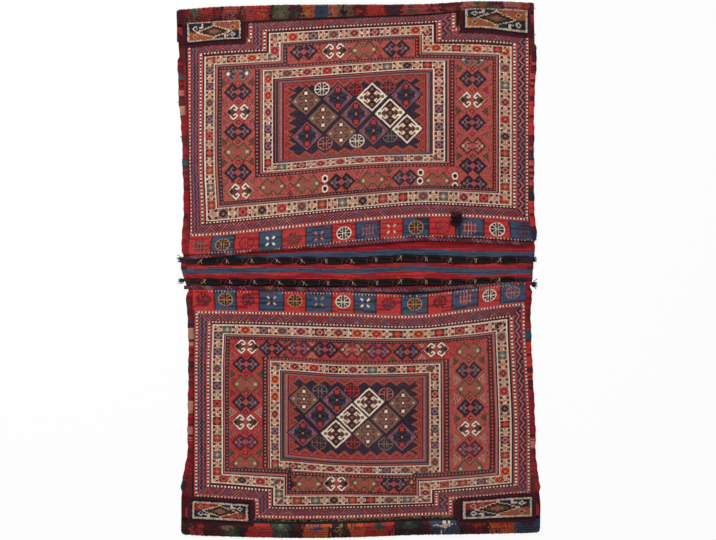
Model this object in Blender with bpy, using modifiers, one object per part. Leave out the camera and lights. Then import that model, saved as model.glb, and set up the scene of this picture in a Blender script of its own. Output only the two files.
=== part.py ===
"""A double saddlebag of flat-woven wool, lying empty and flat on the ground with both faces up.

One long cloth is folded inwards at its two ends, and each folded end is a pouch whose mouth faces the middle.
X runs across the bag, Y runs along it from the lower pouch to the upper one, and Z is up from the ground.
The origin is on the ground under the middle of the bag.
"""

import math

import bpy
import numpy as np

# The cloth
CLOTH_WIDTH = 1.052
CLOTH_THICK = 0.0045
PILE_THICK = 0.0090
UPPER_MOUTH = 0.084
LOWER_MOUTH = 0.069
UPPER_LENGTH = 0.6985
LOWER_LENGTH = 0.721

# The room between the layers of a pouch
POUCH_GAP = 0.0140
MOUTH_GAP = 0.0120
FOLD_GAP = 0.0070
SIDE_GAP = 0.0006
SIDE_RISE = 0.022
SIDE_RIB = 0.042

# The strip of squares along each mouth, with a slit between each two
SQUARES = 14
SLIT_WIDTH = 0.0030
SQUARE_START = 0.006
SQUARE_HEIGHT = 0.058

# Woven frames of each face, measured in from its sides
OUTER_BAND = 0.076
OUTER_BAND_WIDTH = 0.028
INNER_BAND = 0.248
INNER_BAND_WIDTH = 0.034

# The same frames along the pouch, as shares of the way from its mouth to its fold
FRAME_ROWS = (0.150, 0.196, 0.300, 0.350, 0.725, 0.775, 0.850, 0.896)

# Knotted pile at the folded ends and on the outer corners
PILE_BAND = 0.030
PANEL_WIDTH = 0.200
PANEL_LENGTH = {"upper": (0.140, 0.104), "lower": (0.120, 0.118)}
PILE_STEP = 0.005

# The overcast wool that closes the sides, and the cloth that lies flat in it and then slopes away
BIND_WALL = 0.0022
BIND_LEG = 0.0110
FIT = 0.0003
END_GAP = 0.0030
EDGE_LIFT = BIND_WALL + FIT
SIDE_FLAT = BIND_LEG + 2 * FIT
SIDE_SLOPE = 2 * SIDE_FLAT
BIND_ARC_STEPS = 5
BEAD_SHARE = 0.60

# The plaited edging along each mouth
EDGING_WIDTH = 0.0120
EDGING_HEIGHT = 0.0060
EDGING_SIDES = 8

# The braided loops that close the pouches
LOOP_LENGTH = 0.070
LOOP_WIDTH = 0.018
LOOP_CORD = 0.0080
LOOP_FLAT = 0.60

# Tufts of dark hair at the corners of the mouths, and the tassel on the upper face
TUFT_REACH = 0.013
TUFT_THICK = 0.0090
TUFT_DRIFT = 0.004
TASSEL_LENGTH = 0.084
TASSEL_THICK = 0.0120
TASSEL_START = 0.004
TASSEL_LEAN = 0.010
TASSEL_SLIT = 11.05

# How far the hand-made cloth strays from straight: share of the way, then how many steps
SWAY_STEP = 0.0005
LEFT_SWAY = ((0.00, -13), (0.06, -13), (0.16, 38), (0.36, 44), (0.46, 30), (0.51, -3), (0.63, 15), (0.73, 6),
             (0.86, -18), (1.00, -41))
RIGHT_SWAY = ((0.00, 38), (0.05, 41), (0.15, 0), (0.42, -30), (0.50, -15), (0.56, 6), (0.63, -10),
              (0.80, -10), (0.93, 6), (1.00, 2))
MOUTH_SAG = {"upper": ((0.00, 80), (0.16, 62), (0.32, 40), (0.49, 2), (0.64, -14), (0.84, -12), (1.00, 4)),
             "lower": ((0.00, 8), (0.15, 2), (0.45, 0), (0.65, 2), (0.85, 20), (1.00, 30))}
FOLD_SWAY = {"upper": ((0.00, -16), (0.35, 4), (0.50, -2), (0.75, 9), (1.00, 17)),
             "lower": ((0.00, -8), (0.15, 0), (0.50, 0), (0.70, -18), (1.00, -24))}

# The loops of a mouth lie on the dark stripe beside it: share of the way across, then steps along Y
LOOP_ROW = {"upper": ((0.00, 44), (0.13, 50), (0.25, 53), (0.50, 50), (0.65, 68), (0.80, 55), (1.00, 56)),
            "lower": ((0.00, -75), (0.17, -75), (0.35, -82), (0.55, -82), (0.66, -74), (0.78, -80),
                      (0.90, -68), (1.00, -59))}

# Steps along Y to the hair tufts at the left and right ends of each mouth
TUFT_ROW = {"upper": {"left": 58, "right": 60}, "lower": {"left": -68, "right": -86}}

SIGN = {"upper": 1.0, "lower": -1.0}
MOUTH = {"upper": UPPER_MOUTH, "lower": LOWER_MOUTH}
LENGTH = {"upper": UPPER_LENGTH, "lower": LOWER_LENGTH}

# Where rows lie round each half of a fold, as shares of the way to its middle
FOLD_SHARES = (0.50, 0.88, 1.00)

# Colour, roughness
WOOLS = {
    "border_wool": ((0.29, 0.075, 0.085), 0.92),
    "ivory_wool": ((0.62, 0.44, 0.29), 0.90),
    "madder_wool": ((0.50, 0.075, 0.055), 0.92),
    "field_wool": ((0.055, 0.030, 0.060), 0.92),
    "blue_wool": ((0.045, 0.095, 0.190), 0.92),
    "pile_wool": ((0.150, 0.035, 0.040), 0.96),
    "overcast_wool": ((0.42, 0.040, 0.045), 0.93),
    "plum_wool": ((0.20, 0.055, 0.105), 0.93),
    "goat_hair": ((0.020, 0.017, 0.018), 0.88),
}


def eased(pairs, share):
    """The value at a share of the way along a list of (share, value), eased between its points."""
    shares = [p[0] for p in pairs]
    values = [p[1] for p in pairs]
    share = min(max(share, shares[0]), shares[-1])
    i = min(int(np.searchsorted(shares, share, side="right")) - 1, len(pairs) - 2)
    t = (share - shares[i]) / (shares[i + 1] - shares[i])
    t = t * t * (3 - 2 * t)
    return values[i] + (values[i + 1] - values[i]) * t


def sway(pairs, share):
    """How far the cloth strays at a share of the way, in metres."""
    return SWAY_STEP * eased(pairs, share)


def ramp(x, start, end):
    """0 before start, 1 after end, and eased between."""
    t = min(max((x - start) / (end - start), 0.0), 1.0)
    return t * t * (3 - 2 * t)


def along(y):
    """How far a point is from the lower fold to the upper one, as a share."""
    low = -(LOWER_MOUTH + LOWER_LENGTH)
    high = UPPER_MOUTH + UPPER_LENGTH
    return (y - low) / (high - low)


def side_edge(side, y):
    """X of the cloth's left or right edge at y."""
    if side == "left":
        return -CLOTH_WIDTH / 2 + sway(LEFT_SWAY, along(y))
    return CLOTH_WIDTH / 2 + sway(RIGHT_SWAY, along(y))


def mouth_y(pouch, s):
    return SIGN[pouch] * (MOUTH[pouch] - sway(MOUTH_SAG[pouch], s))


def fold_y(pouch, s):
    return SIGN[pouch] * (MOUTH[pouch] + LENGTH[pouch] + sway(FOLD_SWAY[pouch], s))


def from_side(s):
    """Distance in from the nearer side edge."""
    return min(s, 1 - s) * CLOTH_WIDTH


def panel_length(pouch, s):
    left, right = PANEL_LENGTH[pouch]
    return left + (right - left) * s


def gap(s, q):
    """Height of the hollow in a pouch at share s of its width and share q of the way from mouth to fold."""
    middle = MOUTH_GAP + (POUCH_GAP - MOUTH_GAP) * ramp(q, 0.0, 0.3)
    middle += (FOLD_GAP - POUCH_GAP) * ramp(q, 0.75, 1.0)
    rise = 1 - math.exp(-max(from_side(s) - SIDE_FLAT, 0.0) / SIDE_RISE)
    return SIDE_GAP + (middle - SIDE_GAP) * rise


def back_top(pouch, s, to_fold):
    """Height of the upper side of the back, which is thicker where pile wraps under it."""
    pile = 1 - ramp(to_fold, PILE_BAND, PILE_BAND + PILE_STEP)
    return CLOTH_THICK + (PILE_THICK - CLOTH_THICK) * pile + back_foot(s)


def pile_share(pouch, s, to_fold):
    """1 where the face has knotted pile and 0 where it is flat-woven."""
    band = 1 - ramp(to_fold, PILE_BAND, PILE_BAND + PILE_STEP)
    length = panel_length(pouch, s)
    panel = 1 - ramp(to_fold, length, length + PILE_STEP)
    panel *= 1 - ramp(from_side(s), PANEL_WIDTH, PANEL_WIDTH + PILE_STEP)
    return max(band, panel)


def point_at(s, y, z):
    left = side_edge("left", y)
    return (left + s * (side_edge("right", y) - left), y, z)


def face_under(pouch, s, q):
    """A point on the underside of a face."""
    y = mouth_y(pouch, s) + (fold_y(pouch, s) - mouth_y(pouch, s)) * q
    to_fold = abs(fold_y(pouch, s) - y)
    return point_at(s, y, back_top(pouch, s, to_fold) + gap(s, q))


def face_top_height(pouch, s, q):
    return face_under(pouch, s, q)[2] + CLOTH_THICK


def column_shares(slit_width=SLIT_WIDTH):
    """Where the cloth's columns run: round each slit, where the sides slope, and along the woven frames."""
    edge = [0.0, SIDE_FLAT, SIDE_SLOPE, SIDE_RIB]
    edge += [OUTER_BAND + OUTER_BAND_WIDTH, PANEL_WIDTH, PANEL_WIDTH + PILE_STEP]
    edge += [INNER_BAND, INNER_BAND + INNER_BAND_WIDTH]
    shares = {round(d / CLOTH_WIDTH, 6) for d in edge}
    shares |= {round(1 - d / CLOTH_WIDTH, 6) for d in edge}
    half = slit_width / 2 / CLOTH_WIDTH
    for slit in range(1, SQUARES):
        shares |= {round(slit / SQUARES - half, 6), round(slit / SQUARES + half, 6)}
    return sorted(shares)


def face_rows(pouch, s):
    """Shares of the way from mouth to fold at which the rows cross this column."""
    length = abs(fold_y(pouch, s) - mouth_y(pouch, s))
    rows = [0.0, SQUARE_START / length, (SQUARE_START + SQUARE_HEIGHT) / length]
    rows += FRAME_ROWS[:-2]
    panel = panel_length(pouch, s)
    rows += [1 - (panel + PILE_STEP) / length, 1 - panel / length]
    rows += [1 - (PILE_BAND + PILE_STEP) / length, 1 - PILE_BAND / length, 1.0]
    return rows


def fold_arc(pouch, s, layer):
    """Points round the inside of the fold on the half of the face or of the back, with their thickness.

    Each half stops half a clearance short of the middle."""
    low = back_top(pouch, s, 0.0)
    radius = gap(s, 1.0) / 2
    half_turn = math.acos(FIT / 2 / radius)
    arc = []
    for share in FOLD_SHARES:
        angle = half_turn * share
        if layer == "back":
            angle = math.pi - angle
        y = fold_y(pouch, s) + SIGN[pouch] * radius * math.sin(angle)
        z = low + radius + radius * math.cos(angle)
        arc.append((point_at(s, y, z), PILE_THICK))
    return arc


def face_column(pouch, s):
    """The inner side of a face at one column, from its mouth to the middle of its fold.

    Each entry is a point with the thickness of the cloth there."""
    column = []
    for q in face_rows(pouch, s):
        x, y, z = face_under(pouch, s, q)
        pile = pile_share(pouch, s, abs(fold_y(pouch, s) - y))
        column.append(((x, y, z), CLOTH_THICK + (PILE_THICK - CLOTH_THICK) * pile))
    return column + fold_arc(pouch, s, "face")


def back_column(pouch, s):
    """The upper side of the back at one column, from the middle of a fold to the middle of the bag."""
    column = fold_arc(pouch, s, "back")[::-1]
    for q in face_rows(pouch, s)[::-1]:
        x, y, z = face_under(pouch, s, q)
        height = back_top(pouch, s, abs(fold_y(pouch, s) - y))
        column.append(((x, y, height), height - back_foot(s)))
    return column


def back_foot(s):
    """Height of the underside of the back: on the ground, and lifted over the binding at the sides."""
    return EDGE_LIFT * (1 - ramp(from_side(s), SIDE_FLAT, SIDE_SLOPE))


def wool(name):
    """The material of one dyed wool."""
    found = bpy.data.materials.get(name)
    if found:
        return found
    colour, roughness = WOOLS[name]
    material = bpy.data.materials.new(name)
    material.use_nodes = True
    shader = material.node_tree.nodes["Principled BSDF"]
    shader.inputs["Base Color"].default_value = (*colour, 1.0)
    shader.inputs["Roughness"].default_value = roughness
    shader.inputs["Metallic"].default_value = 0.0
    material.diffuse_color = (*colour, 1.0)
    return material


def frame_wool(s, q, to_fold, pouch):
    """Which wool a place on a face shows: squares by the mouth, then the woven frames round the field."""
    inward = from_side(s)
    if pile_share(pouch, s, to_fold) > 0.5:
        return "pile_wool"
    length = LENGTH[pouch]
    if q * length < SQUARE_START + SQUARE_HEIGHT:
        return "madder_wool" if int(s * SQUARES) % 2 == 0 else "blue_wool"
    outer = (FRAME_ROWS[0], FRAME_ROWS[1], FRAME_ROWS[-2], FRAME_ROWS[-1])
    inner = FRAME_ROWS[2:6]
    if inward < OUTER_BAND or not outer[0] < q < outer[3]:
        return "border_wool"
    if inward < OUTER_BAND + OUTER_BAND_WIDTH or not outer[1] < q < outer[2]:
        return "ivory_wool"
    if inward < INNER_BAND or not inner[0] < q < inner[3]:
        return "madder_wool"
    if inward < INNER_BAND + INNER_BAND_WIDTH or not inner[1] < q < inner[2]:
        return "ivory_wool"
    return "field_wool"


def cloth_sheet(name, columns, wool_of, parts):
    """A sheet of cloth through these columns of points, thickened outwards.

    It is open where wool_of gives no wool."""
    rows = len(columns[0])
    names = list(WOOLS)
    faces = []
    wools = []
    for i in range(len(columns) - 1):
        for j in range(rows - 1):
            colour = wool_of(i, j)
            if colour is None:
                continue
            a = i * rows + j
            faces.append((a, a + 1, a + rows + 1, a + rows))
            wools.append(names.index(colour))
    mesh = bpy.data.meshes.new(name)
    mesh.from_pydata([entry[0] for column in columns for entry in column], [], faces)
    for colour in names:
        mesh.materials.append(wool(colour))
    mesh.polygons.foreach_set("material_index", wools)
    sheet = bpy.data.objects.new(name, mesh)
    parts.objects.link(sheet)
    group = sheet.vertex_groups.new(name="thickness")
    thicknesses = [entry[1] for column in columns for entry in column]
    thickest = max(thicknesses)
    for index, thick in enumerate(thicknesses):
        group.add([index], thick / thickest, "REPLACE")
    shell = sheet.modifiers.new("thickness", "SOLIDIFY")
    shell.thickness = thickest
    shell.offset = -1.0
    shell.vertex_group = group.name
    shell.use_even_offset = False
    mesh.shade_smooth()
    mesh.set_sharp_from_angle(angle=math.radians(40))
    return sheet


def face(pouch, parts):
    """The patterned front of one pouch, slit between its squares along the mouth."""
    shares = column_shares()
    slit_row = 1
    last = len(face_rows(pouch, 0.5)) - 1

    def wool_of(i, j):
        row = j if pouch == "upper" else len(columns[0]) - 2 - j
        s = (shares[i] + shares[i + 1]) / 2
        if row == slit_row and (shares[i + 1] - shares[i]) * CLOTH_WIDTH < SLIT_WIDTH + FIT:
            return None
        if row >= last:
            return "pile_wool"
        reach = face_rows(pouch, s)
        q = (reach[row] + reach[row + 1]) / 2
        return frame_wool(s, q, (1 - q) * abs(fold_y(pouch, s) - mouth_y(pouch, s)), pouch)

    columns = [face_column(pouch, s) for s in shares]
    if pouch == "lower":
        columns = [column[::-1] for column in columns]
    return cloth_sheet(pouch + "_face", columns, wool_of, parts)


def back_cloth(parts):
    """The plain back of both pouches with the bridge between them, in one length and with no slits."""
    columns = [back_column("upper", s) + back_column("lower", s)[::-1] for s in column_shares(slit_width=0.0)]
    rows = len(columns[0])

    def wool_of(i, j):
        near_fold = min(j, rows - 2 - j) < len(FOLD_SHARES) + 1
        return "pile_wool" if near_fold else "madder_wool"

    return cloth_sheet("back_cloth", columns, wool_of, parts)


def profile_curve(name, outline, helpers):
    """A closed flat outline that a sweep follows. It is a guide and not a piece."""
    curve = bpy.data.curves.new(name, "CURVE")
    curve.dimensions = "2D"
    spline = curve.splines.new("POLY")
    spline.points.add(len(outline) - 1)
    for point, (x, y) in zip(spline.points, outline, strict=True):
        point.co = (x, y, 0.0, 1.0)
    spline.use_cyclic_u = True
    guide = bpy.data.objects.new(name, curve)
    guide.hide_render = True
    guide.display_type = "WIRE"
    helpers.objects.link(guide)
    return guide


def path_curve(name, points, material, parts, cyclic=False, radii=None):
    """A curve object through these points, ready for a bevel."""
    curve = bpy.data.curves.new(name, "CURVE")
    curve.dimensions = "3D"
    curve.twist_mode = "Z_UP"
    curve.use_fill_caps = not cyclic
    spline = curve.splines.new("POLY")
    spline.points.add(len(points) - 1)
    radii = radii or [1.0] * len(points)
    for point, place, radius in zip(spline.points, points, radii, strict=True):
        point.co = (*place, 1.0)
        point.radius = radius
    spline.use_cyclic_u = cyclic
    curve.materials.append(wool(material))
    piece = bpy.data.objects.new(name, curve)
    parts.objects.link(piece)
    return piece


def bead_reach(inside_height):
    """How far a binding stands out beyond the cloth's edge."""
    return FIT + BIND_WALL + BEAD_SHARE * (inside_height / 2 + FIT + BIND_WALL)


def binding_outline(inside_height, flip):
    """The section of an overcast edge: a rounded bead outside, with a leg over and a leg under the cloth.

    Its origin is at the cloth's edge, half way up. It runs clockwise, so that the sweep faces out."""
    half = inside_height / 2 + FIT
    outer = half + BIND_WALL
    bulge = bead_reach(inside_height) - FIT
    points = [(-BIND_LEG, half), (-BIND_LEG, outer)]
    for step in range(BIND_ARC_STEPS + 1):
        angle = math.pi / 2 - math.pi * step / BIND_ARC_STEPS
        points.append((FIT + bulge * math.cos(angle), outer * math.sin(angle)))
    points += [(-BIND_LEG, -outer), (-BIND_LEG, -half), (FIT, -half), (FIT, half)]
    points = [(flip * x, y) for x, y in points]
    return points if flip > 0 else points[::-1]


def bridge_edge(side, y):
    """X of the bridge's edge at y, and its slope. It runs straight from one mouth to the other."""
    s = 0.0 if side == "left" else 1.0
    low = mouth_y("lower", s)
    high = mouth_y("upper", s)
    slope = (side_edge(side, high) - side_edge(side, low)) / (high - low)
    return side_edge(side, low) + slope * (y - low), slope


def edge_binding(name, side, ys, layers, material, parts, helpers):
    """Overcast wool along the cloth's edge through these places along Y, round one layer or two."""
    height = layers * CLOTH_THICK + (layers - 1) * SIDE_GAP
    middle = EDGE_LIFT + height / 2
    places = [(side_edge(side, y), y, middle) for y in ys]
    binding = path_curve(name, places, material, parts)
    runs_up = ys[-1] > ys[0]
    flip = 1.0 if (side == "right") == runs_up else -1.0
    binding.data.bevel_mode = "OBJECT"
    binding.data.bevel_object = profile_curve(name + "_outline", binding_outline(height, flip), helpers)
    return binding


def mouth_edging(pouch, parts, helpers):
    """The flat plait sewn along the mouth of a face."""
    inset = (BIND_LEG + END_GAP) / CLOTH_WIDTH
    places = []
    for s in [inset] + [s for s in column_shares() if inset < s < 1 - inset] + [1 - inset]:
        x, y, z = face_under(pouch, s, 0.0)
        out = SIGN[pouch] * (EDGING_WIDTH / 2 + 2 * FIT)
        places.append((x, y - out, z + CLOTH_THICK / 2))
    edging = path_curve(pouch + "_mouth_edging", places, "plum_wool", parts)
    outline = []
    for step in range(EDGING_SIDES):
        angle = -2 * math.pi * step / EDGING_SIDES
        outline.append((EDGING_WIDTH / 2 * math.cos(angle), EDGING_HEIGHT / 2 * math.sin(angle)))
    edging.data.bevel_mode = "OBJECT"
    edging.data.bevel_object = profile_curve(pouch + "_edging_outline", outline, helpers)
    return edging


def stadium(length, width, arc_steps=4):
    """Points round a long flat loop, centred on the origin."""
    radius = width / 2
    straight = length / 2 - radius
    points = []
    for end in (1, -1):
        for step in range(arc_steps + 1):
            angle = -math.pi / 2 + math.pi * step / arc_steps
            points.append((end * (straight + radius * math.cos(angle)), end * radius * math.sin(angle)))
    return points


def closure_loops(pouch, parts):
    """One braided loop for each slit of a face, lying flat along the bridge."""
    top = CLOTH_THICK + FIT
    for slit in range(1, SQUARES):
        s = slit / SQUARES
        row = sway(LOOP_ROW[pouch], s)
        x = point_at(s, row, 0.0)[0]
        height = top + LOOP_CORD * LOOP_FLAT / 2
        round_it = stadium(LOOP_LENGTH - LOOP_CORD, LOOP_WIDTH - LOOP_CORD)
        places = [(px, py, 0.0) for px, py in round_it]
        loop = path_curve(f"{pouch}_loop_{slit:02d}", places, "goat_hair", parts, cyclic=True)
        loop.data.bevel_depth = LOOP_CORD / 2
        loop.data.bevel_resolution = 1
        loop.location = (x, row, height)
        loop.scale = (1.0, 1.0, LOOP_FLAT)


def corner_tuft(pouch, side, parts):
    """A tuft of dark hair that sticks out sideways where a mouth meets the binding."""
    out = 1.0 if side == "right" else -1.0
    y = SWAY_STEP * TUFT_ROW[pouch][side]
    edge, slope = bridge_edge(side, y)
    start = edge + out * (bead_reach(CLOTH_THICK) + 2 * FIT + abs(slope) * TUFT_THICK / 4)
    places = []
    radii = []
    for share, width in ((0.0, 0.50), (0.2, 0.95), (0.5, 1.0), (0.8, 0.6), (1.0, 0.2)):
        places.append((start + out * TUFT_REACH * share, y + SIGN[pouch] * TUFT_DRIFT * share ** 3, 0.0))
        radii.append(width)
    tuft = path_curve(f"{pouch}_{side}_tuft", places, "goat_hair", parts, radii=radii)
    tuft.data.bevel_depth = TUFT_THICK / 2
    tuft.data.bevel_resolution = 2
    tuft.location.z = TUFT_THICK / 2 + FIT


def face_tassel(parts):
    """The dark tassel that hangs out of one slit of the upper face and lies on it."""
    s = TASSEL_SLIT / SQUARES
    start = mouth_y("upper", s) + SQUARE_START + TASSEL_START
    beside = TASSEL_THICK / CLOTH_WIDTH
    beyond = 1.25 * TASSEL_LENGTH / UPPER_LENGTH
    heights = []
    for q in (0.0, beyond / 2, beyond):
        heights += [face_top_height("upper", s + off, q) for off in (-beside, 0.0, beside)]
    x = point_at(s, start, 0.0)[0]
    places = []
    radii = []
    for share, width in ((0.0, 0.30), (0.40, 0.42), (0.55, 0.75), (0.75, 1.0), (0.92, 0.9), (1.0, 0.4)):
        places.append((x - TASSEL_LEAN * share * share, start + TASSEL_LENGTH * share, 0.0))
        radii.append(width)
    tassel = path_curve("face_tassel", places, "goat_hair", parts, radii=radii)
    tassel.data.bevel_depth = TASSEL_THICK / 2
    tassel.data.bevel_resolution = 2
    tassel.location.z = max(heights) + FIT + TASSEL_THICK / 2


def clear_scene():
    for old in list(bpy.data.objects):
        bpy.data.objects.remove(old, do_unlink=True)


def collection(name):
    made = bpy.data.collections.new(name)
    bpy.context.scene.collection.children.link(made)
    return made


def main():
    clear_scene()
    parts = collection("kilim_bag")
    helpers = collection("guides")
    for pouch in ("upper", "lower"):
        face(pouch, parts)
    back_cloth(parts)
    for side in ("left", "right"):
        edge = 0.0 if side == "left" else 1.0
        for pouch in ("upper", "lower"):
            near = mouth_y(pouch, edge)
            length = fold_y(pouch, edge) - near
            ys = [near + length * q for q in face_rows(pouch, edge)[:-4]]
            ys[-1] -= SIGN[pouch] * END_GAP
            edge_binding(f"{pouch}_{side}_binding", side, ys, 2, "overcast_wool", parts, helpers)
        ys = [mouth_y("lower", edge) + END_GAP, mouth_y("upper", edge) - END_GAP]
        edge_binding(f"bridge_{side}_selvedge", side, ys, 1, "plum_wool", parts, helpers)
    for pouch in ("upper", "lower"):
        mouth_edging(pouch, parts, helpers)
        closure_loops(pouch, parts)
        for side in ("left", "right"):
            corner_tuft(pouch, side, parts)
    face_tassel(parts)


main()
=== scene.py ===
"""The visible surface of a wool double saddlebag, laid flat on a white ground and seen from straight above.

Each face is woven knot by knot from a chart that the functions here draw: frames, squares, hooked
lozenges and stars. Knotted pile, overcast edges, plaits, braided loops and tufts of hair are built
yarn by yarn. Chart places are in steps of one knot, PIXEL wide, counted as the photograph's pixels are.
"""

import math

import bpy
import numpy as np
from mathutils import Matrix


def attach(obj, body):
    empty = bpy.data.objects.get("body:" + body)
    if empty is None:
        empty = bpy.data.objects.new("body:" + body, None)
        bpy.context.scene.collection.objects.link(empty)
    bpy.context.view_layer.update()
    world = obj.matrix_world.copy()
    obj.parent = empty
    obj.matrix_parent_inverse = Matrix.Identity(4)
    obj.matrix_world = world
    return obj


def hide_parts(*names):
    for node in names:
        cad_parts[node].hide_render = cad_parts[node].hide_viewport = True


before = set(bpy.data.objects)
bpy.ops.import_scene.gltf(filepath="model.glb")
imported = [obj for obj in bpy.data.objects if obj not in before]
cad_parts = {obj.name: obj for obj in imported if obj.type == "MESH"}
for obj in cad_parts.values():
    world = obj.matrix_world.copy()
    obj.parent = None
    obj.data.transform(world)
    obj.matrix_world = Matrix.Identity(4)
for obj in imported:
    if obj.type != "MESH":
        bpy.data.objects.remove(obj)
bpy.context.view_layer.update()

# One knot of the chart, and the place in the photograph of the bag's middle
PIXEL = 0.003
MIDDLE_X = 358.5
MIDDLE_Y = 269.5
IMAGE_WIDTH = 716
IMAGE_HEIGHT = 540

# The solids' own sizes, repeated so that the yarn lies where they are
CLOTH_WIDTH = 1.052
CLOTH_THICK = 0.0045
PILE_THICK = 0.0090
UPPER_MOUTH = 0.084
LOWER_MOUTH = 0.069
UPPER_LENGTH = 0.6985
LOWER_LENGTH = 0.721
POUCH_GAP = 0.0140
MOUTH_GAP = 0.0120
FOLD_GAP = 0.0070
SIDE_GAP = 0.0006
SIDE_RISE = 0.022
BIND_LEG = 0.0110
EDGE_LIFT = 0.0025
LEFT_SWAY = ((0.00, -0.0065), (0.06, -0.0065), (0.16, 0.019), (0.36, 0.022), (0.46, 0.015), (0.51, -0.0015),
             (0.63, 0.0075), (0.73, 0.003), (0.86, -0.009), (1.00, -0.0205))
RIGHT_SWAY = ((0.00, 0.0190), (0.05, 0.0205), (0.15, 0.000), (0.42, -0.015), (0.50, -0.0075), (0.56, 0.003),
              (0.63, -0.005), (0.80, -0.005), (0.93, 0.003), (1.00, 0.001))

# Camera and light
LENS = 100.0
SENSOR = 36.0
GROUND_LIGHT = 0.50
LAMP_POWER = 94.0
FLOOR_GLOW = 0.9

RNG = np.random.default_rng(7)


def across(px):
    return (np.asarray(px, float) - MIDDLE_X) * PIXEL


def along(py):
    return (MIDDLE_Y - np.asarray(py, float)) * PIXEL


# Dyes

def dyed(red, green, blue):
    """A dye from its brightness on a screen, as light."""
    value = np.array([red, green, blue], float) / 255
    return np.where(value < 0.04045, value / 12.92, ((value + 0.055) / 1.055) ** 2.4)


DYES = {
    "maroon": dyed(88, 30, 34),
    "plum": dyed(84, 36, 52),
    "red": dyed(172, 56, 54),
    "brick": dyed(166, 80, 72),
    "scarlet": dyed(178, 48, 46),
    "crimson": dyed(138, 26, 36),
    "madder": dyed(166, 70, 68),
    "rose": dyed(176, 104, 98),
    "lilac": dyed(134, 88, 98),
    "ivory": dyed(200, 160, 133),
    "white": dyed(232, 210, 190),
    "sand": dyed(168, 118, 98),
    "orange": dyed(190, 88, 52),
    "gold": dyed(176, 124, 72),
    "brown": dyed(92, 54, 44),
    "grey_brown": dyed(118, 86, 74),
    "grey": dyed(120, 104, 98),
    "olive": dyed(92, 92, 62),
    "green": dyed(58, 78, 62),
    "teal": dyed(44, 74, 82),
    "blue": dyed(58, 74, 100),
    "navy": dyed(42, 42, 62),
    "ink": dyed(46, 34, 42),
    "black": dyed(32, 22, 23),
}
NAMES = list(DYES)
DYE_TABLE = np.array([DYES[name] for name in NAMES])


# Smooth rules

def eased(pairs, share):
    """Values between (share, value) points, flat at each point."""
    shares, values = np.array(pairs).T
    share = np.clip(share, shares[0], shares[-1])
    i = np.clip(np.searchsorted(shares, share, side="right") - 1, 0, len(shares) - 2)
    t = (share - shares[i]) / (shares[i + 1] - shares[i])
    t = t * t * (3 - 2 * t)
    return values[i] + (values[i + 1] - values[i]) * t


def curve_weights(x, knots):
    """For each x, its interval among the knots and how far along it, for a smooth curve."""
    knots = np.asarray(knots, float)
    i = np.clip(np.searchsorted(knots, x, side="right") - 1, 0, len(knots) - 2)
    t = np.clip((x - knots[i]) / (knots[i + 1] - knots[i]), 0, 1)
    return i, t, knots[i + 1] - knots[i]


def smooth(x, knots, values):
    """A smooth curve through the values at the knots. The values may be arrays, one row for each knot."""
    values = np.asarray(values, float)
    slopes = np.gradient(values, np.asarray(knots, float), axis=0)
    i, t, h = curve_weights(x, knots)
    if values.ndim > 1:
        t, h = t[..., None], h[..., None]
    a = (1 + 2 * t) * (1 - t) ** 2
    b = t * (1 - t) ** 2 * h
    c = t * t * (3 - 2 * t)
    d = t * t * (t - 1) * h
    return a * values[i] + b * slopes[i] + c * values[i + 1] + d * slopes[i + 1]


def ramp(x, start, end):
    t = np.clip((x - start) / (end - start), 0, 1)
    return t * t * (3 - 2 * t)


def wave(x):
    """A zigzag from 0 up to 1 and back, once for each whole step of x."""
    return 1 - np.abs(2 * (x % 1) - 1)


def scatter(*keys):
    """An even number from 0 to 1 that depends only on these whole numbers."""
    total = np.zeros(np.broadcast(*keys).shape)
    for factor, key in zip((12.9898, 78.233, 37.719), keys):
        total = total + np.asarray(key, float) * factor
    return np.abs(np.sin(total) * 43758.5453) % 1


def side_edge(side, y):
    """X of the cloth's left or right edge at y."""
    low = -(LOWER_MOUTH + LOWER_LENGTH)
    share = (np.asarray(y, float) - low) / (UPPER_MOUTH + UPPER_LENGTH - low)
    if side == "left":
        return -CLOTH_WIDTH / 2 + eased(LEFT_SWAY, share)
    return CLOTH_WIDTH / 2 + eased(RIGHT_SWAY, share)


def from_side(x, y):
    """How far in from the nearer edge of the cloth a place is."""
    return np.minimum(x - side_edge("left", y), side_edge("right", y) - x)


def side_rise(inward):
    """0 at a bound edge, and nearly 1 well inside."""
    return 1 - np.exp(-np.maximum(inward - BIND_LEG, 0) / SIDE_RISE)


def side_lift(inward):
    """How high a binding holds the cloth's edge."""
    return EDGE_LIFT * (1 - ramp(inward, BIND_LEG, 2 * BIND_LEG))


# How each face was woven: places of its frames, then how far hand weaving and use pulled them

# Depths in from the outer dotted line at which each frame starts or ends
LEVELS = (-14, 0, 3, 10, 12, 16, 25, 27.5, 33, 34, 66, 71, 74.5, 84, 87, 96, 106, 190)

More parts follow.
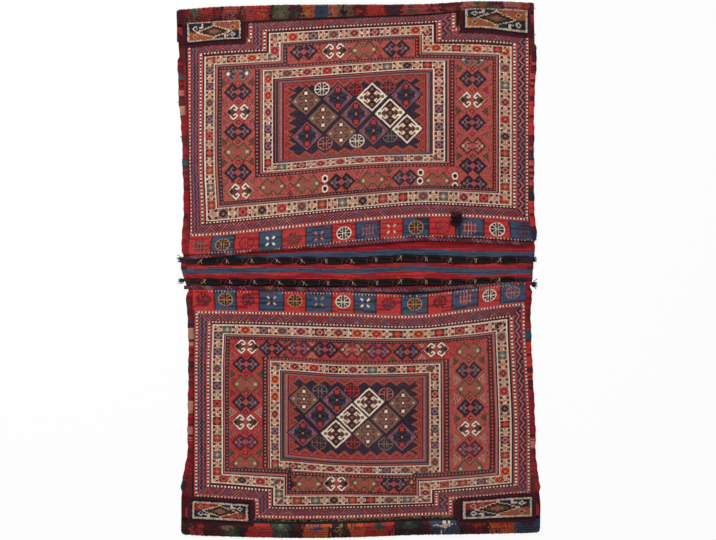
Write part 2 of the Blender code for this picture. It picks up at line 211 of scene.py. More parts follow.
FACES = {
    "upper": {
        "columns": (176, 542), "rows": (8, 241),
        "left": (175, 189, 192, 199, 201, 205, 214, 216.5, 222, 223, 254.7, 260, 263.5, 273, 276, 285,
                 294, 380),
        "right": (541, 527.3, 524.5, 517, 514, 511, 500, 497, 493, 491.5, 455, 449.5, 444.5, 433.3, 432,
                  424, 416, 330),
        "top": (2, 16, 18, 24, 25.5, 28, 37, 38.5, 42, 43, 59, 62.5, 64, 73, 75, 79, 86, 170),
        "bottom": (233, 219.3, 217.5, 210, 208, 207, 196, 194.5, 190, 189, 169.5, 165.5, 164, 156.5, 155,
                   152.5, 147, 60),
        "notch_left": (237, 251, 265, 269.5, 279.4, 290),
        "notch_right": (467, 453.4, 439, 433, 423, 412),
        "notch_row": (20.5, 34.5, 44.5, 47, 54.5, 64),
        "warp_columns": (176, 189, 210, 279, 359, 424, 480, 529, 542),
        "warp_rows": (5, 15, 33, 50, 68, 160, 202, 219, 232, 243),
        "lift": ((3, 2.5, 1, -0.5, 0, 0.5, -2, -1.5, -1.5), (8, 8, 7, 3, 0, -2, -6, -4, -4),
                 (10, 10, 8, 5, 0, -3, -5, 0, 0), (11, 11, 9.5, 5.5, 0, -3, -2, 0, 0),
                 (10, 10, 9, 5.5, 0, -3.5, -2, 0, 0), (12, 12, 10.5, 7, 0, -2, -2, 0, 0),
                 (15, 15, 13.5, 7.5, 0, -5, -3, -0.5, 0), (15.5, 15.5, 14.5, 8, 0, -4.7, -3.5, -0.5, 0),
                 (14, 14, 13.5, 8.5, 0, -4.7, -3.5, -1, -1), (14, 14, 12.5, 8.5, 0, -3.6, -2.6, 0.5, 1)),
        "drift": ((0, 0, 0, 0, 0, 0, 0, 0, 0),) * 6 + ((0, 1, 2, 0, 0, 0, 0, 0, 0),
                                                       (0, 1, 2, 0, 0, 0, 0, 0, 0),
                                                       (0, 0, 0, 0, 0, 0, 0, 2, 2),
                                                       (0, 0, 0, 0, 0, 0, 0, 3, 3)),
    },
    "lower": {
        "columns": (178, 544), "rows": (292, 532),
        "left": (183, 196.6, 198.5, 206.6, 208.7, 212, 222, 224, 229, 229.5, 262, 268, 270, 280, 282, 290,
                 298, 385),
        "right": (542, 528.8, 525, 518.5, 515.3, 511, 500, 497, 490, 488.6, 450, 444, 440, 429.6, 428,
                  421, 413, 328),
        "top": (301, 315, 317, 324, 325.4, 328, 337, 338.5, 343, 344, 360, 363.5, 365, 374, 376, 379.5,
                385.5, 470),
        "bottom": (530, 516.5, 515, 508.5, 507, 505, 496, 495, 491, 490, 477, 474, 473, 465.5, 463.5,
                   457.5, 450.5, 366),
        "notch_left": (243.6, 257.6, 270.3, 274, 283.7, 294),
        "notch_right": (464.3, 450.3, 436, 431.6, 420, 410),
        "notch_row": (514, 500, 490.5, 487.5, 480, 470),
        "warp_columns": (178, 195, 212, 277, 340, 425, 470, 529, 544),
        "warp_rows": (292, 315, 333, 369, 430, 468, 484, 505, 522, 536),
        "lift": ((-2.5, -2.5, -2.5, -1, 0, 2, -3, -10, -11),
                 (-2.6, -2.6, -2.5, -1.5, 0, 1.5, -4, -10.5, -11),
                 (-3.7, -3.7, -3.5, -2, 0, 1, -3, -9, -9), (-5, -5, -5, -4, 0, -1, -3, -6, -6),
                 (-4, -4, -4, -3, 0, 0, -2, -5, -5), (-5, -5, -5, -4.5, 0, 0, -2, -6, -6),
                 (-6, -6, -5.5, -1, 0, 2.5, -1, -5.5, -5.5), (-4, -4, -3, 0.5, 0, -2, -4, -8, -8),
                 (-4, -4, -3, 0, 0, -3, -3.7, -6, -6), (-1.5, -1.5, -1, 0, 0, -3, -3.5, -4, -4)),
        "drift": ((0, 0, 0, 0, 0, 0, -1, -4, -4), (0, 0.4, 1, 0, 0, 0, -1.5, -5, -5),
                  (0, 0.4, 1, 0, 0, 0, -1.5, -5, -5), (0, 0, 0, 0, 0, 0, -1, -3, -3)) + ((0,) * 9,) * 6,
    },
}


def pull(pouch, p, q):
    """How far right and down a place on the chart was pulled, in chart steps."""
    face = FACES[pouch]
    i, t, h = curve_weights(q, face["warp_rows"])
    found = []
    for table in (face["drift"], face["lift"]):
        table = np.array(table, float)
        rows = np.gradient(table, np.array(face["warp_rows"], float), axis=0)
        columns = [smooth(p, face["warp_columns"], row) for row in table]
        slopes = [smooth(p, face["warp_columns"], row) for row in rows]
        value = np.choose(i, columns[:-1]) * (1 + 2 * t) * (1 - t) ** 2
        value += np.choose(i, columns[1:]) * t * t * (3 - 2 * t)
        value += np.choose(i, slopes[:-1]) * t * (1 - t) ** 2 * h
        value += np.choose(i, slopes[1:]) * t * t * (t - 1) * h
        found.append(value)
    return found


# How many chart steps in from its edge a face is pinched to fit the cloth's side
EDGE_PINCH = {"left": 15, "right": -14}


def lie_of_cloth(pouch, p, q):
    """X and Y in metres of a place on the chart, pinched in at the bound edges."""
    drift, lift = pull(pouch, p, q)
    y = along(q + lift)
    x = across(p + drift)
    for side, column in zip(("left", "right"), FACES[pouch]["columns"]):
        inner = column + EDGE_PINCH[side]
        edge = side_edge(side, y)
        start = across(inner + pull(pouch, np.full_like(p, inner), q)[0])
        t = (p - inner) / (column - inner)
        x = np.where(t > 0, start + (edge - start) * t, x)
    return x, y


def mouth_share(pouch, q):
    """0 at the mouth of a pouch and 1 at its fold."""
    top, bottom = FACES[pouch]["rows"]
    return (bottom - q) / (bottom - top) if pouch == "upper" else (q - top) / (bottom - top)


def hollow(x, y, share):
    """The room under a face, as the solids leave it."""
    middle = MOUTH_GAP + (POUCH_GAP - MOUTH_GAP) * ramp(share, 0.0, 0.3)
    middle = middle + (FOLD_GAP - POUCH_GAP) * ramp(share, 0.75, 1.0)
    inward = from_side(x, y)
    return side_lift(inward) + SIDE_GAP + (middle - SIDE_GAP) * side_rise(inward)


def creases(x, y):
    """The soft waves of cloth that was folded and used."""
    slow = 0.0011 * np.sin(7.1 * x + 2.3 * np.sin(3.1 * y)) * np.sin(6.3 * y + 1.9 * np.sin(4.7 * x))
    cross = 0.0005 * np.sin(31 * x + 11 * y) * np.sin(17 * y - 5 * x)
    return slow + cross


# Shares of the way to the fold between which the cloth thickens under the pile
THICKENING = (0.955, 0.985)


def face_height(pouch, p, q):
    """Height of the upper side of a face's flat weave."""
    x, y = lie_of_cloth(pouch, p, q)
    share = mouth_share(pouch, q)
    fold_rise = (PILE_THICK - CLOTH_THICK) * ramp(share, *THICKENING)
    return 2 * CLOTH_THICK + fold_rise + hollow(x, y, share) + creases(x, y) * ramp(share, 0.0, 0.05)


# The chart of a face

NOTCH_LEVELS = (-14, 0, 12, 16, 25, 36)


def depth_of(value, ticks, levels):
    """Level in the frames of a place, from the places at which the levels are reached."""
    if ticks[0] > ticks[-1]:
        value, ticks = -value, [-tick for tick in ticks]
    return np.interp(value, ticks, levels)


class Chart:
    """The dye of each half knot of one face, with its level in the frames and its place along them."""

    def __init__(self, pouch):
        self.pouch = pouch
        (left, right), (top, bottom) = FACES[pouch]["columns"], FACES[pouch]["rows"]
        self.p, self.q = np.meshgrid(np.arange(left, right, 0.5) + 0.25, np.arange(top, bottom, 0.5) + 0.25)
        self.dye = np.full(self.p.shape, NAMES.index("maroon"))
        self.grain = scatter(np.floor(self.p), np.floor(self.q))
        self.find_frames()

    def find_frames(self):
        face = FACES[self.pouch]
        ways = (("left", self.p), ("right", self.p), ("top", self.q), ("bottom", self.q))
        depths = np.array([depth_of(value, face[name], LEVELS) for name, value in ways])
        self.depth = depths.min(axis=0)
        self.upright = depths.argmin(axis=0) < 2
        rise = depth_of(self.q, face["notch_row"], NOTCH_LEVELS)
        for name in ("notch_left", "notch_right"):
            run = depth_of(self.p, face[name], NOTCH_LEVELS)
            notch = np.maximum(run, rise)
            nearer = (notch < self.depth) & (notch < 34)
            self.depth = np.where(nearer, notch, self.depth)
            self.upright = np.where(nearer, run > rise, self.upright)
        self.along = np.where(self.upright, self.q, self.p)
        self.side = np.where(self.upright, self.p > self.p.mean(), 2 + (self.q > self.q.mean()))

    def paint(self, where, name):
        self.dye[where] = NAMES.index(name)

    def place(self, x, y):
        """The chart place that shows at a pixel of the photograph."""
        p, q = np.array([float(x)]), np.array([float(y)])
        for _ in range(3):
            drift, lift = pull(self.pouch, p, q)
            p, q = x - drift, y - lift
        return p[0], q[0]

    def box(self, p0, q0, p1, q1):
        return (self.p > p0) & (self.p < p1) & (self.q > q0) & (self.q < q1)


class Patch:
    """A window on the chart round one place.

    x and y are distances from it, so that what is drawn shows four times.
    """

    def __init__(self, chart, p, q, wide, tall):
        rows = slice(*np.searchsorted(chart.q[:, 0], (q - tall, q + tall)))
        columns = slice(*np.searchsorted(chart.p[0], (p - wide, p + wide)))
        self.right = chart.p[rows, columns] - p
        self.down = chart.q[rows, columns] - q
        self.x, self.y = np.abs(self.right), np.abs(self.down)
        self.dye = chart.dye[rows, columns]
        self.grain = chart.grain[rows, columns]

    def paint(self, where, name):
        self.dye[where] = NAMES.index(name)

    def lozenge(self, x, y, wide, tall):
        """Below 1 inside a lozenge."""
        return np.abs(self.x - x) / wide + np.abs(self.y - y) / tall

    def dot(self, x, y, half, name):
        self.paint((np.abs(self.x - x) < half) & (np.abs(self.y - y) < half), name)

    def eye(self, x, y, half, ring, name):
        """A small lozenge with a dot in it."""
        self.paint(self.lozenge(x, y, half, half) < 1, ring)
        self.dot(x, y, half * 0.38, name)

    def line(self, points, width, name):
        """A line of knots through some points."""
        for (x0, y0), (x1, y1) in zip(points, points[1:]):
            dx, dy = x1 - x0, y1 - y0
            t = np.clip(((self.x - x0) * dx + (self.y - y0) * dy) / (dx * dx + dy * dy), 0, 1)
            self.paint(np.hypot(self.x - x0 - t * dx, self.y - y0 - t * dy) < width / 2, name)


# The plain bands of the frames: levels from and to, and dye
BANDS = (
    (-5.0, -2.7, "black"), (-2.7, 1.9, "madder"), (1.9, 9.6, "plum"), (9.6, 13.9, "madder"),
    (13.9, 15.6, "black"), (26.0, 27.2, "black"), (27.2, 28.6, "rose"), (28.6, 30.2, "maroon"),
    (30.2, 33.2, "ink"), (33.2, 66.4, "red"), (66.4, 69.4, "ink"), (69.4, 71.4, "maroon"),
    (71.4, 72.8, "rose"), (72.8, 74.2, "black"), (84.2, 85.8, "black"), (85.8, 87.2, "madder"),
    (87.2, 89.0, "navy"), (89.0, 91.6, "grey_brown"), (91.6, 93.0, "rose"), (93.0, 94.8, "plum"),
    (94.8, 97.0, "red"),
)


# Levels from and to of the frames that have figures, and where the frames begin and the dark field begins
GUARD = (1.9, 9.6)
MADDER_BAND = (9.6, 13.9)
OUTER_BOXES = (15.6, 26.0)
RED_BAND = (33.2, 66.4)
INNER_BOXES = (74.2, 84.2)
FRAMES_START = -5.0
FIELD_START = 96.0


def in_band(chart, levels):
    """The places of a chart that lie between two levels."""
    low, high = levels
    return (chart.depth > low) & (chart.depth < high)


def dotted_line(chart, centre, half, step, light, dark, right_light):
    """A thin line of light and dark dashes."""
    line = np.abs(chart.depth - centre) < half
    lit = (chart.along / step) % 1 < 0.46
    chart.paint(line & ~lit, "maroon")
    chart.paint(line & ~lit & (chart.side == 0), dark)
    chart.paint(line & lit, light)
    chart.paint(line & lit & (chart.side == 1), right_light)


def zigzag_border(chart):
    """The outer guard: fine waves up the left side, a zigzag up the right, and chevrons along the ends."""
    band = in_band(chart, GUARD)
    streak = scatter(np.floor(chart.along / 9), np.floor(chart.depth / 2))
    chart.paint(band & (streak > 0.55), "ink")
    chart.paint(band & (streak > 0.80), "navy")
    left, right = chart.upright & (chart.side == 0), chart.upright & (chart.side == 1)
    lit = scatter(np.floor(chart.along / 26), chart.side)
    for centre in (4.0, 7.3):
        line = band & left & (np.abs(chart.depth - centre - 1.5 * (wave(chart.along / 4.4) - 0.5)) < 0.5)
        chart.paint(line, "lilac")
        chart.paint(line & (lit > 0.72) & (centre > 5), "grey")
    turn = wave(chart.along / 9.3)
    line = band & right & (np.abs(chart.depth - 3.7 - 4.0 * turn) < 0.9)
    chart.paint(line, "lilac")
    chart.paint(line & (lit > 0.3), "rose")
    for low, near in ((3.0, turn > 0.8), (8.4, turn < 0.2)):
        chart.paint(band & right & near & (np.abs(chart.depth - low) < 0.6), "rose")
    ends = band & ~chart.upright
    off = np.abs(chart.along % 15.5 - 7.75)
    rung = (chart.depth + off) / 2.95
    lit = scatter(np.floor(chart.along / 7.75), np.floor(rung))
    chart.paint(ends, "maroon")
    chart.paint(ends & (lit < 0.5), "plum")
    chart.paint(ends & (chart.grain > 0.75), "ink")
    bars = ends & (rung % 1 < 0.38)
    chart.paint(bars, "lilac")
    chart.paint(bars & (lit > 0.40), "madder")
    chart.paint(bars & (lit > 0.70), "rose")


# Boxes of the ivory bands: dyes of corners, lozenge and heart
BOXES = (("black", "rose", "crimson"), ("rose", "plum", "orange"), ("crimson", "madder", "ink"),
         ("navy", "lilac", "plum"), ("ink", "red", "orange"), ("grey_brown", "black", "lilac"),
         ("green", "grey", "ivory"), ("brown", "red", "gold"), ("madder", "crimson", "rose"),
         ("orange", "crimson", "gold"), ("grey", "brown", "madder"), ("plum", "grey", "ink"))
BOX_TABLE = np.array([[NAMES.index(name) for name in form] for form in BOXES])

# Where boxes lie along the left, right, top and bottom of a band: the first and the pace, and, where the
# pace changes, the place and the later pace
BOX_RUNS = {
    ("upper", "outer"): ((61.4, 16.4), (69.2, 17.0), (292.9, 20.45), (302.0, 20.2)),
    ("upper", "inner"): ((72.9, 16.5), (76.0, 17.7), (287.2, 20.0), (281.8, 19.5)),
    ("lower", "outer"): ((339.0, 17.2), (343.5, 17.3, 412.8, 15.75), (244.8, 18.75, 376.0, 21.2),
                         (278.8, 18.4)),
    ("lower", "inner"): ((383.2, 17.0), (378.2, 16.9), (275.3, 19.4), (274.3, 18.7)),
}


def box_number(along, start, pace, turn=1000.0, later=1.0):
    """How many boxes lie between the first and a place."""
    return (np.minimum(along, turn) - start) / pace + np.maximum(along - turn, 0) / later


def box_band(chart, which_band, levels):
    """An ivory band with boxes, and four dots between each two."""
    low, high = levels
    half = (high - low) / 2
    band = in_band(chart, levels)
    v = np.abs(chart.depth - low - half)
    chart.paint(band, "ivory")
    chart.paint(band & (chart.grain > 0.70), "sand")
    chart.paint(band & (chart.grain < 0.08), "white")
    chart.paint(band & (v > half - 0.7), "white")
    tall = half - 1.5
    for side, run in enumerate(BOX_RUNS[chart.pouch, which_band]):
        number = box_number(chart.along, *run)
        which = np.round(number)
        u = np.abs(number - which) * run[1]
        between = run[1] / 2 - u
        mine = band & (chart.side == side)
        wide = 3.9 if side < 2 else 4.6
        shape = u / wide + v / tall
        form = (scatter(which, np.full_like(which, 3 * side + low)) * len(BOXES)).astype(int)
        box = mine & (u < wide) & (v < tall)
        for layer, part in enumerate((box, box & (shape < 1.0), box & (shape < 0.4))):
            chart.dye[part] = BOX_TABLE[form[part], layer]
        apart = 2.4 if side < 2 else 2.9
        dots = mine & (np.abs(between - apart) < 1.3) & (np.abs(v - 0.54 * half) < 1.0)
        chart.paint(dots, "brown")
        chart.paint(dots & (chart.grain > 0.25), "black")
        cross = mine & (np.minimum(between, v) < 0.5) & (np.maximum(between, v) < 2.2)
        chart.paint(cross & (which % 3 > 0), "sand")
        chart.paint(cross & (which % 3 == 1), "madder")


def frames(chart):
    """All the bands that run round the face, from the outside in."""
    for low, high, name in BANDS:
        chart.paint(in_band(chart, (low, high)), name)
    chart.paint(~chart.upright & in_band(chart, MADDER_BAND), "maroon")
    zigzag_border(chart)
    dotted_line(chart, -0.2, 0.80, 3.4, "white", "black", "white")
    dotted_line(chart, 11.6, 0.75, 3.4, "white", "black", "white")
    dotted_line(chart, 31.2, 0.7, 3.45, "grey", "ink", "orange")
    dotted_line(chart, 68.6, 0.7, 3.45, "sand", "ink", "rose")
    ground = in_band(chart, RED_BAND)
    second_lot = (chart.side % 2 == 1) | (chart.pouch == "upper")
    chart.paint(ground & second_lot, "brick")
    chart.paint(ground & (chart.grain > 0.86), "crimson")
    chart.paint(ground & (chart.grain < 0.12), "madder")
    box_band(chart, "outer", OUTER_BOXES)
    box_band(chart, "inner", INNER_BOXES)


def serrated_edge(chart):
    """Nested teeth of red, orange and rose that reach in round the dark field."""
    inside = chart.depth >= FIELD_START
    chart.paint(inside, "ink")
    chart.paint(inside & (chart.grain > 0.55), "navy")
    chart.paint(inside & (chart.grain > 0.90), "plum")
    pitch = np.where(chart.upright, 8.4, 13.0)
    reach = np.where(chart.upright, 9.0, 7.5) * wave(chart.along / pitch)
    below = chart.depth - 99.0 - reach
    tooth = inside & (below < 0)
    chart.paint(tooth, "maroon")
    for step, name in enumerate(("orange", "rose", "red", "orange", "madder")):
        high = -2.6 * step
        chart.paint(tooth & (below > high - 1.2) & (below < high), name)


def grey_lozenge(patch, shape):
    patch.paint(shape < 1.0, "grey_brown")
    patch.line(((3.2, 1.8), (6.6, 2.3), (6.4, 4.6), (3.4, 4.9)), 1.0, "maroon")
    patch.eye(0, 7.7, 3.9, "maroon", "white")
    patch.eye(0, 0, 2.8, "maroon", "white")
    patch.dot(10.4, 0, 1.0, "ivory")


def plum_lozenge(patch, shape):
    patch.paint(shape < 1.0, "plum")
    patch.paint(np.abs(shape - 0.94) < 0.045, "lilac")
    patch.paint(np.abs(shape - 0.80) < 0.04, "lilac")
    patch.paint(shape < 0.75, "ink")
    patch.line(((2.6, 2.0), (6.4, 2.2), (5.8, 4.8), (3.0, 4.8)), 0.8, "teal")
    patch.paint(patch.lozenge(0, 8.0, 4.4, 4.4) < 1, "maroon")
    patch.dot(0, 8.0, 2.0, "red")
    patch.dot(0, 0, 1.1, "rose")
    patch.dot(9.6, 0, 1.3, "lilac")


def ivory_lozenge(patch, shape):
    patch.paint(shape < 1.02, "white")
    patch.paint(shape < 0.88, "brown")
    patch.paint((shape < 0.88) & (patch.x > 8.4), "white")
    patch.line(((9.0, 1.4), (4.6, 5.0), (2.4, 3.4), (4.4, 2.4)), 1.2, "white")
    patch.eye(0, 7.6, 4.0, "black", "grey_brown")
    patch.eye(0, 0, 3.4, "black", "lilac")
    patch.dot(10.6, 0, 1.5, "olive")


FIELD = {
    "upper": (
        (grey_lozenge, ((306, 101), (323, 117.5), (341, 132.6))),
        (plum_lozenge, ((338, 98), (356, 114), (373.5, 130.5), (307, 136), (406, 95))),
        (ivory_lozenge, ((372, 97), (390, 113), (407, 129))),
    ),
    "lower": (
        (grey_lozenge, ((304, 399), (403, 403), (386, 419), (368, 434))),
        (plum_lozenge, ((337, 400), (320, 416), (303, 433), (402, 437))),
        (ivory_lozenge, ((369, 402), (352, 417.5), (336, 434))),
    ),
}
WHEELS = {
    "upper": ((322, 89, "white"), (357, 141, "white"), (355, 89, "scarlet"), (325, 143.5, "rose"),
              (388, 87, "madder"), (390, 136, "grey")),
    "lower": ((352, 391, "scarlet"), (320, 391, "grey"), (386, 394, "rose"), (385.5, 444, "grey"),
              (353, 442, "scarlet"), (319, 443, "grey_brown")),
}


def wheel(patch, thread, ground):
    """A ring parted by a narrow cross, with a spoke in each quarter."""
    x, y = patch.x / 7.6, patch.y / 6.6
    radius = np.hypot(x, y)
    if ground:
        patch.paint(radius < 1.0, ground)
    bars = (np.abs(patch.x - 1.2) < 0.4) | (patch.y < 0.5) | (np.abs(x - y) < 0.05)
    drawn = (np.abs(radius - 0.93) < 0.06) | (bars & (radius < 0.94))
    patch.paint(drawn & (patch.x > 0.7), thread)


def petals(patch, thread, ground):
    """Four small leaves, each with a green shadow."""
    patch.dot(4.2, 4.2, 1.2, "green")
    patch.paint((np.abs(patch.x - patch.y) < 1.3) & (np.abs(patch.x + patch.y - 6.2) < 2.3), thread)
    patch.dot(0, 0, 0.6, "black")


def grid_star(patch, thread, ground):
    """A barred star, nearly square."""
    body = (patch.x + patch.y < 9.6) & (patch.x < 7.4) & (patch.y < 6.4)
    bars = (np.abs(patch.x % 3.2 - 1.6) < 0.45) | (np.abs(patch.y - 2.6) < 0.40)
    patch.paint(body & (patch.grain > 0.5), ground or "maroon")
    patch.paint(body & bars, thread)


def central_field(chart):
    """The dark field with its lozenges and wheels."""
    serrated_edge(chart)
    for x, y, name in WHEELS[chart.pouch]:
        wheel(Patch(chart, *chart.place(x, y), 9, 8), name, "ink")
    for draw, places in FIELD[chart.pouch]:
        for x, y in places:
            patch = Patch(chart, *chart.place(x, y), 17, 16)
            shape = patch.lozenge(0, 0, 15.0, 14.2)
            patch.paint(shape < 1.12, "ink")
            draw(patch, shape)


# Hooked figures of the red band: dyes of line, ground and eye, and the width of the line
HOOK_KINDS = {
    "grey": ("grey", "plum", "white", 1.7),
    "dark": ("ink", "lilac", "grey", 2.6),
    "white": ("white", "brown", "black", 1.4),
    "olive": ("olive", "madder", "ivory", 1.4),
    "brown": ("brown", "rose", "ivory", 1.5),
    "purple": ("plum", "lilac", "sand", 2.2),
}

# Their places in the photograph, run by run along the band
HOOKS = {
    "upper": (
        ("side", ((237.5, 73.8, "grey"), (238, 92, "dark"), (239, 112, "white"), (238, 131.8, "dark"),
                  (238, 152, "olive"), (238, 172.5, "dark"), (240.8, 191.3, "white"))),
        ("side", ((472.5, 59, "grey"), (472.5, 79, "dark"), (472, 100, "white"), (472, 122.5, "dark"),
                  (472.5, 146, "brown"), (472.5, 166, "dark"))),
        ("end", ((303.8, 51.8, "dark"), (335, 50.8, "white"), (364.3, 50, "olive"), (396.3, 48.8, "dark"))),
        ("end", ((272.5, 187, "olive"), (307.5, 184.5, "olive"), (341.3, 182, "dark"),
                 (372.5, 180, "olive"), (405, 177.5, "dark"), (437.5, 180.5, "olive"),
                 (473.8, 183.8, "dark"))),
    ),
    "lower": (
        ("side", ((246.8, 346.5, "white"), (246.3, 364, "dark"), (246.3, 384, "olive"),
                  (245.8, 402.3, "dark"), (245.5, 422, "white"), (245.5, 442, "purple"),
                  (245.5, 463.3, "olive"))),
        ("side", ((468.8, 351, "olive"), (468.8, 370.3, "dark"), (470, 388.5, "olive"),
                  (470.5, 407.8, "dark"), (470.5, 428.5, "white"), (469.5, 449, "purple"),
                  (470, 468.5, "olive"))),
        ("end", ((272, 348.3, "dark"), (298.8, 348.3, "purple"), (325, 349.5, "dark"),
                 (352, 349.5, "brown"), (378.3, 351.5, "purple"), (407, 352, "dark"),
                 (436.3, 349.5, "white"))),
        ("end", ((281, 484, "dark"), (308.8, 484, "olive"), (336.3, 483.5, "white"),
                 (364.5, 483.3, "olive"), (393.8, 484, "dark"), (421, 482, "brown"))),
    ),
}
WHITE_RINGS = {
    "upper": ((325, 178.5), (325, 188.8), (420.5, 172.5), (420, 181), (455, 176), (455, 186)),
    "lower": (),
}


def double_hook(patch, line, fill, eye, width):
    """Two open lozenges side by side, with hooks turned in and an eye at each outer corner."""
    shape = patch.lozenge(5.3, 0, 7.4, 7.6)
    patch.paint(shape < 1.22, "maroon")
    patch.paint(shape < 1.0, fill)
    patch.paint((patch.x < 2.0) & (patch.y < 3.0), "madder")
    patch.line(((12.3, 0), (5.3, 7.2), (1.5, 3.6), (3.4, 1.9), (4.8, 2.8)), width, line)
    patch.eye(9.2, 0, 3.6, "brown" if eye == "black" else line, eye)


def band_fill(patch, run, seed):
    """What lies between two hooked figures: a small lozenge, and a barred triangle on each side of it."""
    lit = scatter(np.array([seed]), np.array([3]))[0]
    patch.paint(patch.lozenge(0, 0, 3.0, 2.8) < 1, "ink" if lit < 0.3 else "maroon")
    patch.paint(patch.lozenge(0, 0, 1.7, 1.5) < 1, "orange" if lit > 0.6 else "madder")
    out, beside, base = (patch.x, patch.y, 9.0) if run == "side" else (patch.y, patch.x, 3.4)
    inside = (out - base) * 0.72 - beside
    triangle = (inside > 0) & (out < base + 7)
    patch.paint(triangle, "maroon")
    bars = ("olive", "ivory", "rose", "olive", "madder")[int(lit * 5)]
    patch.paint(triangle & (inside % 2.0 < 0.8), bars)


def red_band(chart):
    """The red band's figures, which the frames on both sides of it cut off."""
    plain = chart.dye.copy()
    for run, figures in HOOKS[chart.pouch]:
        for (x0, y0, _), (x1, y1, _) in zip(figures, figures[1:]):
            patch = Patch(chart, *chart.place((x0 + x1) / 2, (y0 + y1) / 2), 16.5, 9.5)
            band_fill(patch, run, int(x0 + y0))
        for x, y, kind in figures:
            double_hook(Patch(chart, *chart.place(x, y), 15, 10), *HOOK_KINDS[kind])
    for x, y in WHITE_RINGS[chart.pouch]:
        patch = Patch(chart, *chart.place(x, y), 5, 5)
        radius = np.hypot(patch.x / 3.2, patch.y / 3.9)
        patch.paint(radius < 1, "white")
        patch.paint(radius < 0.6, "black")
    low, high = RED_BAND
    outside = (chart.depth < low) | (chart.depth > high)
    chart.dye[outside] = plain[outside]


SQUARES = {
    "upper": {
        "bounds": (187, 211, 234, 259, 282, 306, 332, 356, 380, 403, 429, 456, 484, 509, 537),
        "rows": (222.5, 242.0),
        "stars": ("grid grey_brown", "wheel gold", "wheel plum", "petals white", "grid brown",
                  "petals rose", "wheel white", "grid lilac", "petals ivory", "wheel gold", "wheel plum",
                  "grid rose", "wheel white", "wheel maroon"),
    },
    "lower": {
        "bounds": (192, 214, 236, 259, 284, 306, 332, 354, 376, 401, 428, 453, 480, 504, 530),
        "rows": (292.0, 312.6),
        "stars": ("grid maroon", "wheel gold", "grid plum", "petals ivory", "wheel gold", "petals sand",
                  "wheel white", "petals white", "grid plum", "wheel gold", "grid maroon", "grid rose",
                  "wheel white", "wheel rose"),
    },
}
STARS = {"wheel": wheel, "petals": petals, "grid": grid_star}


def squares(chart):
    """Fourteen squares along the mouth, red and blue by turns, each with a star."""
    strip = SQUARES[chart.pouch]
    top, bottom = strip["rows"]
    bounds = strip["bounds"]
    streak = scatter(np.floor(chart.q / 1.5), np.floor(chart.p / 13))
    blue_dyes = ((0.0, "blue"), (0.55, "navy"), (0.80, "teal"), (0.93, "plum"))
    red_dyes = ((0.0, "scarlet"), (0.45, "red"), (0.75, "crimson"))
    for i, star in enumerate(strip["stars"]):
        square = chart.box(bounds[i], top, bounds[i + 1], bottom)
        for floor, name in (red_dyes, blue_dyes)[i % 2]:
            chart.paint(square & (streak >= floor), name)
        form, thread = star.split()
        patch = Patch(chart, (bounds[i] + bounds[i + 1]) / 2, (top + bottom) / 2 - 0.5, 10, 9)
        STARS[form](patch, thread, "ink" if thread in ("white", "gold") else None)
    # A black line at each bound between two squares is painted shade in the slit that the face has there
    for bound in bounds[1:-1]:
        chart.paint(chart.box(bound - 0.5, top, bound + 0.5, bottom), "black")
    low = bottom - 2.6 if chart.pouch == "upper" else top + 0.9
    line = chart.box(bounds[0], low, bounds[-1], low + 1.4) & (scatter(np.floor(chart.p / 23), 4) > 0.3)
    chart.paint(line & (chart.grain > 0.5), "ink")
    chart.paint(line & ((chart.p / 3.2) % 1 < 0.42) & (chart.grain > 0.25), "ivory")


# Corner panels of pile: left, top, right and bottom on the chart, and the dyes of the four quarters
PANELS = {
    "upper": (("left", (187, 14.6, 240.7, 32.6), ("navy", "orange", "orange", "navy")),
              ("right", (465.3, 14.2, 527.8, 32.6), ("navy", "orange", "orange", "navy"))),
    "lower": (("left", (192, 505.5, 248, 522.6), ("scarlet", "navy", "navy", "scarlet")),
              ("right", (463, 505.5, 532.4, 522.6), ("scarlet", "navy", "navy", "orange"))),
}


# What each ground of a quarter is flecked with
SECOND_DYES = {"orange": "gold", "scarlet": "red", "navy": "teal"}


def corner_panel(chart, box, quarters):
    """A panel of pile in a dark surround: a stepped lozenge, and quarters with an eye and a hook each."""
    left, top, right, bottom = box
    wide, tall = (right - left) / 2, (bottom - top) / 2
    patch = Patch(chart, left + wide, top + tall, wide + 6, tall + 5)
    patch.paint(patch.grain < 1, "plum")
    patch.paint(patch.grain > 0.5, "maroon")
    patch.paint((patch.x < wide + 2.5) & (patch.y < tall + 2.2), "ink")
    x, y = patch.x / wide, patch.y / tall
    shape = np.floor(patch.x / 1.5) * 1.5 / wide + np.floor(patch.y) / tall
    patch.paint((x < 1) & (y < 1), "white")
    patch.paint((x < 1) & (y < 1) & (patch.grain > 0.6), "ivory")
    for right_side, lower_half, ground in zip((-1, 1, -1, 1), (-1, -1, 1, 1), quarters):
        mine = (right_side * patch.right > 0) & (lower_half * patch.down > 0)
        quarter = mine & (x < 0.93) & (y < 0.84) & (shape > 0.62) & (x > 0.05)
        warm = ground in ("orange", "scarlet")
        patch.paint(quarter, ground)
        patch.paint(quarter & (patch.grain > 0.6), SECOND_DYES[ground])
        eye = np.abs(x - 0.70) / 0.12 + np.abs(y - 0.42) / 0.28
        patch.paint(quarter & (eye < 1), "ivory" if warm else "white")
        patch.paint(quarter & (eye < 0.5), "green" if warm else "ink")
        hook = (np.abs(x - 0.42) < 0.04) | ((np.abs(y - 0.50) < 0.08) & (np.abs(x - 0.48) < 0.08))
        patch.paint(quarter & hook & (y > 0.40), "rose" if warm else "white")
    patch.paint(shape < 0.50, "black")
    patch.paint(shape < 0.40, "brown")
    patch.paint(shape < 0.26, "olive")
    patch.paint(shape < 0.13, "rose")


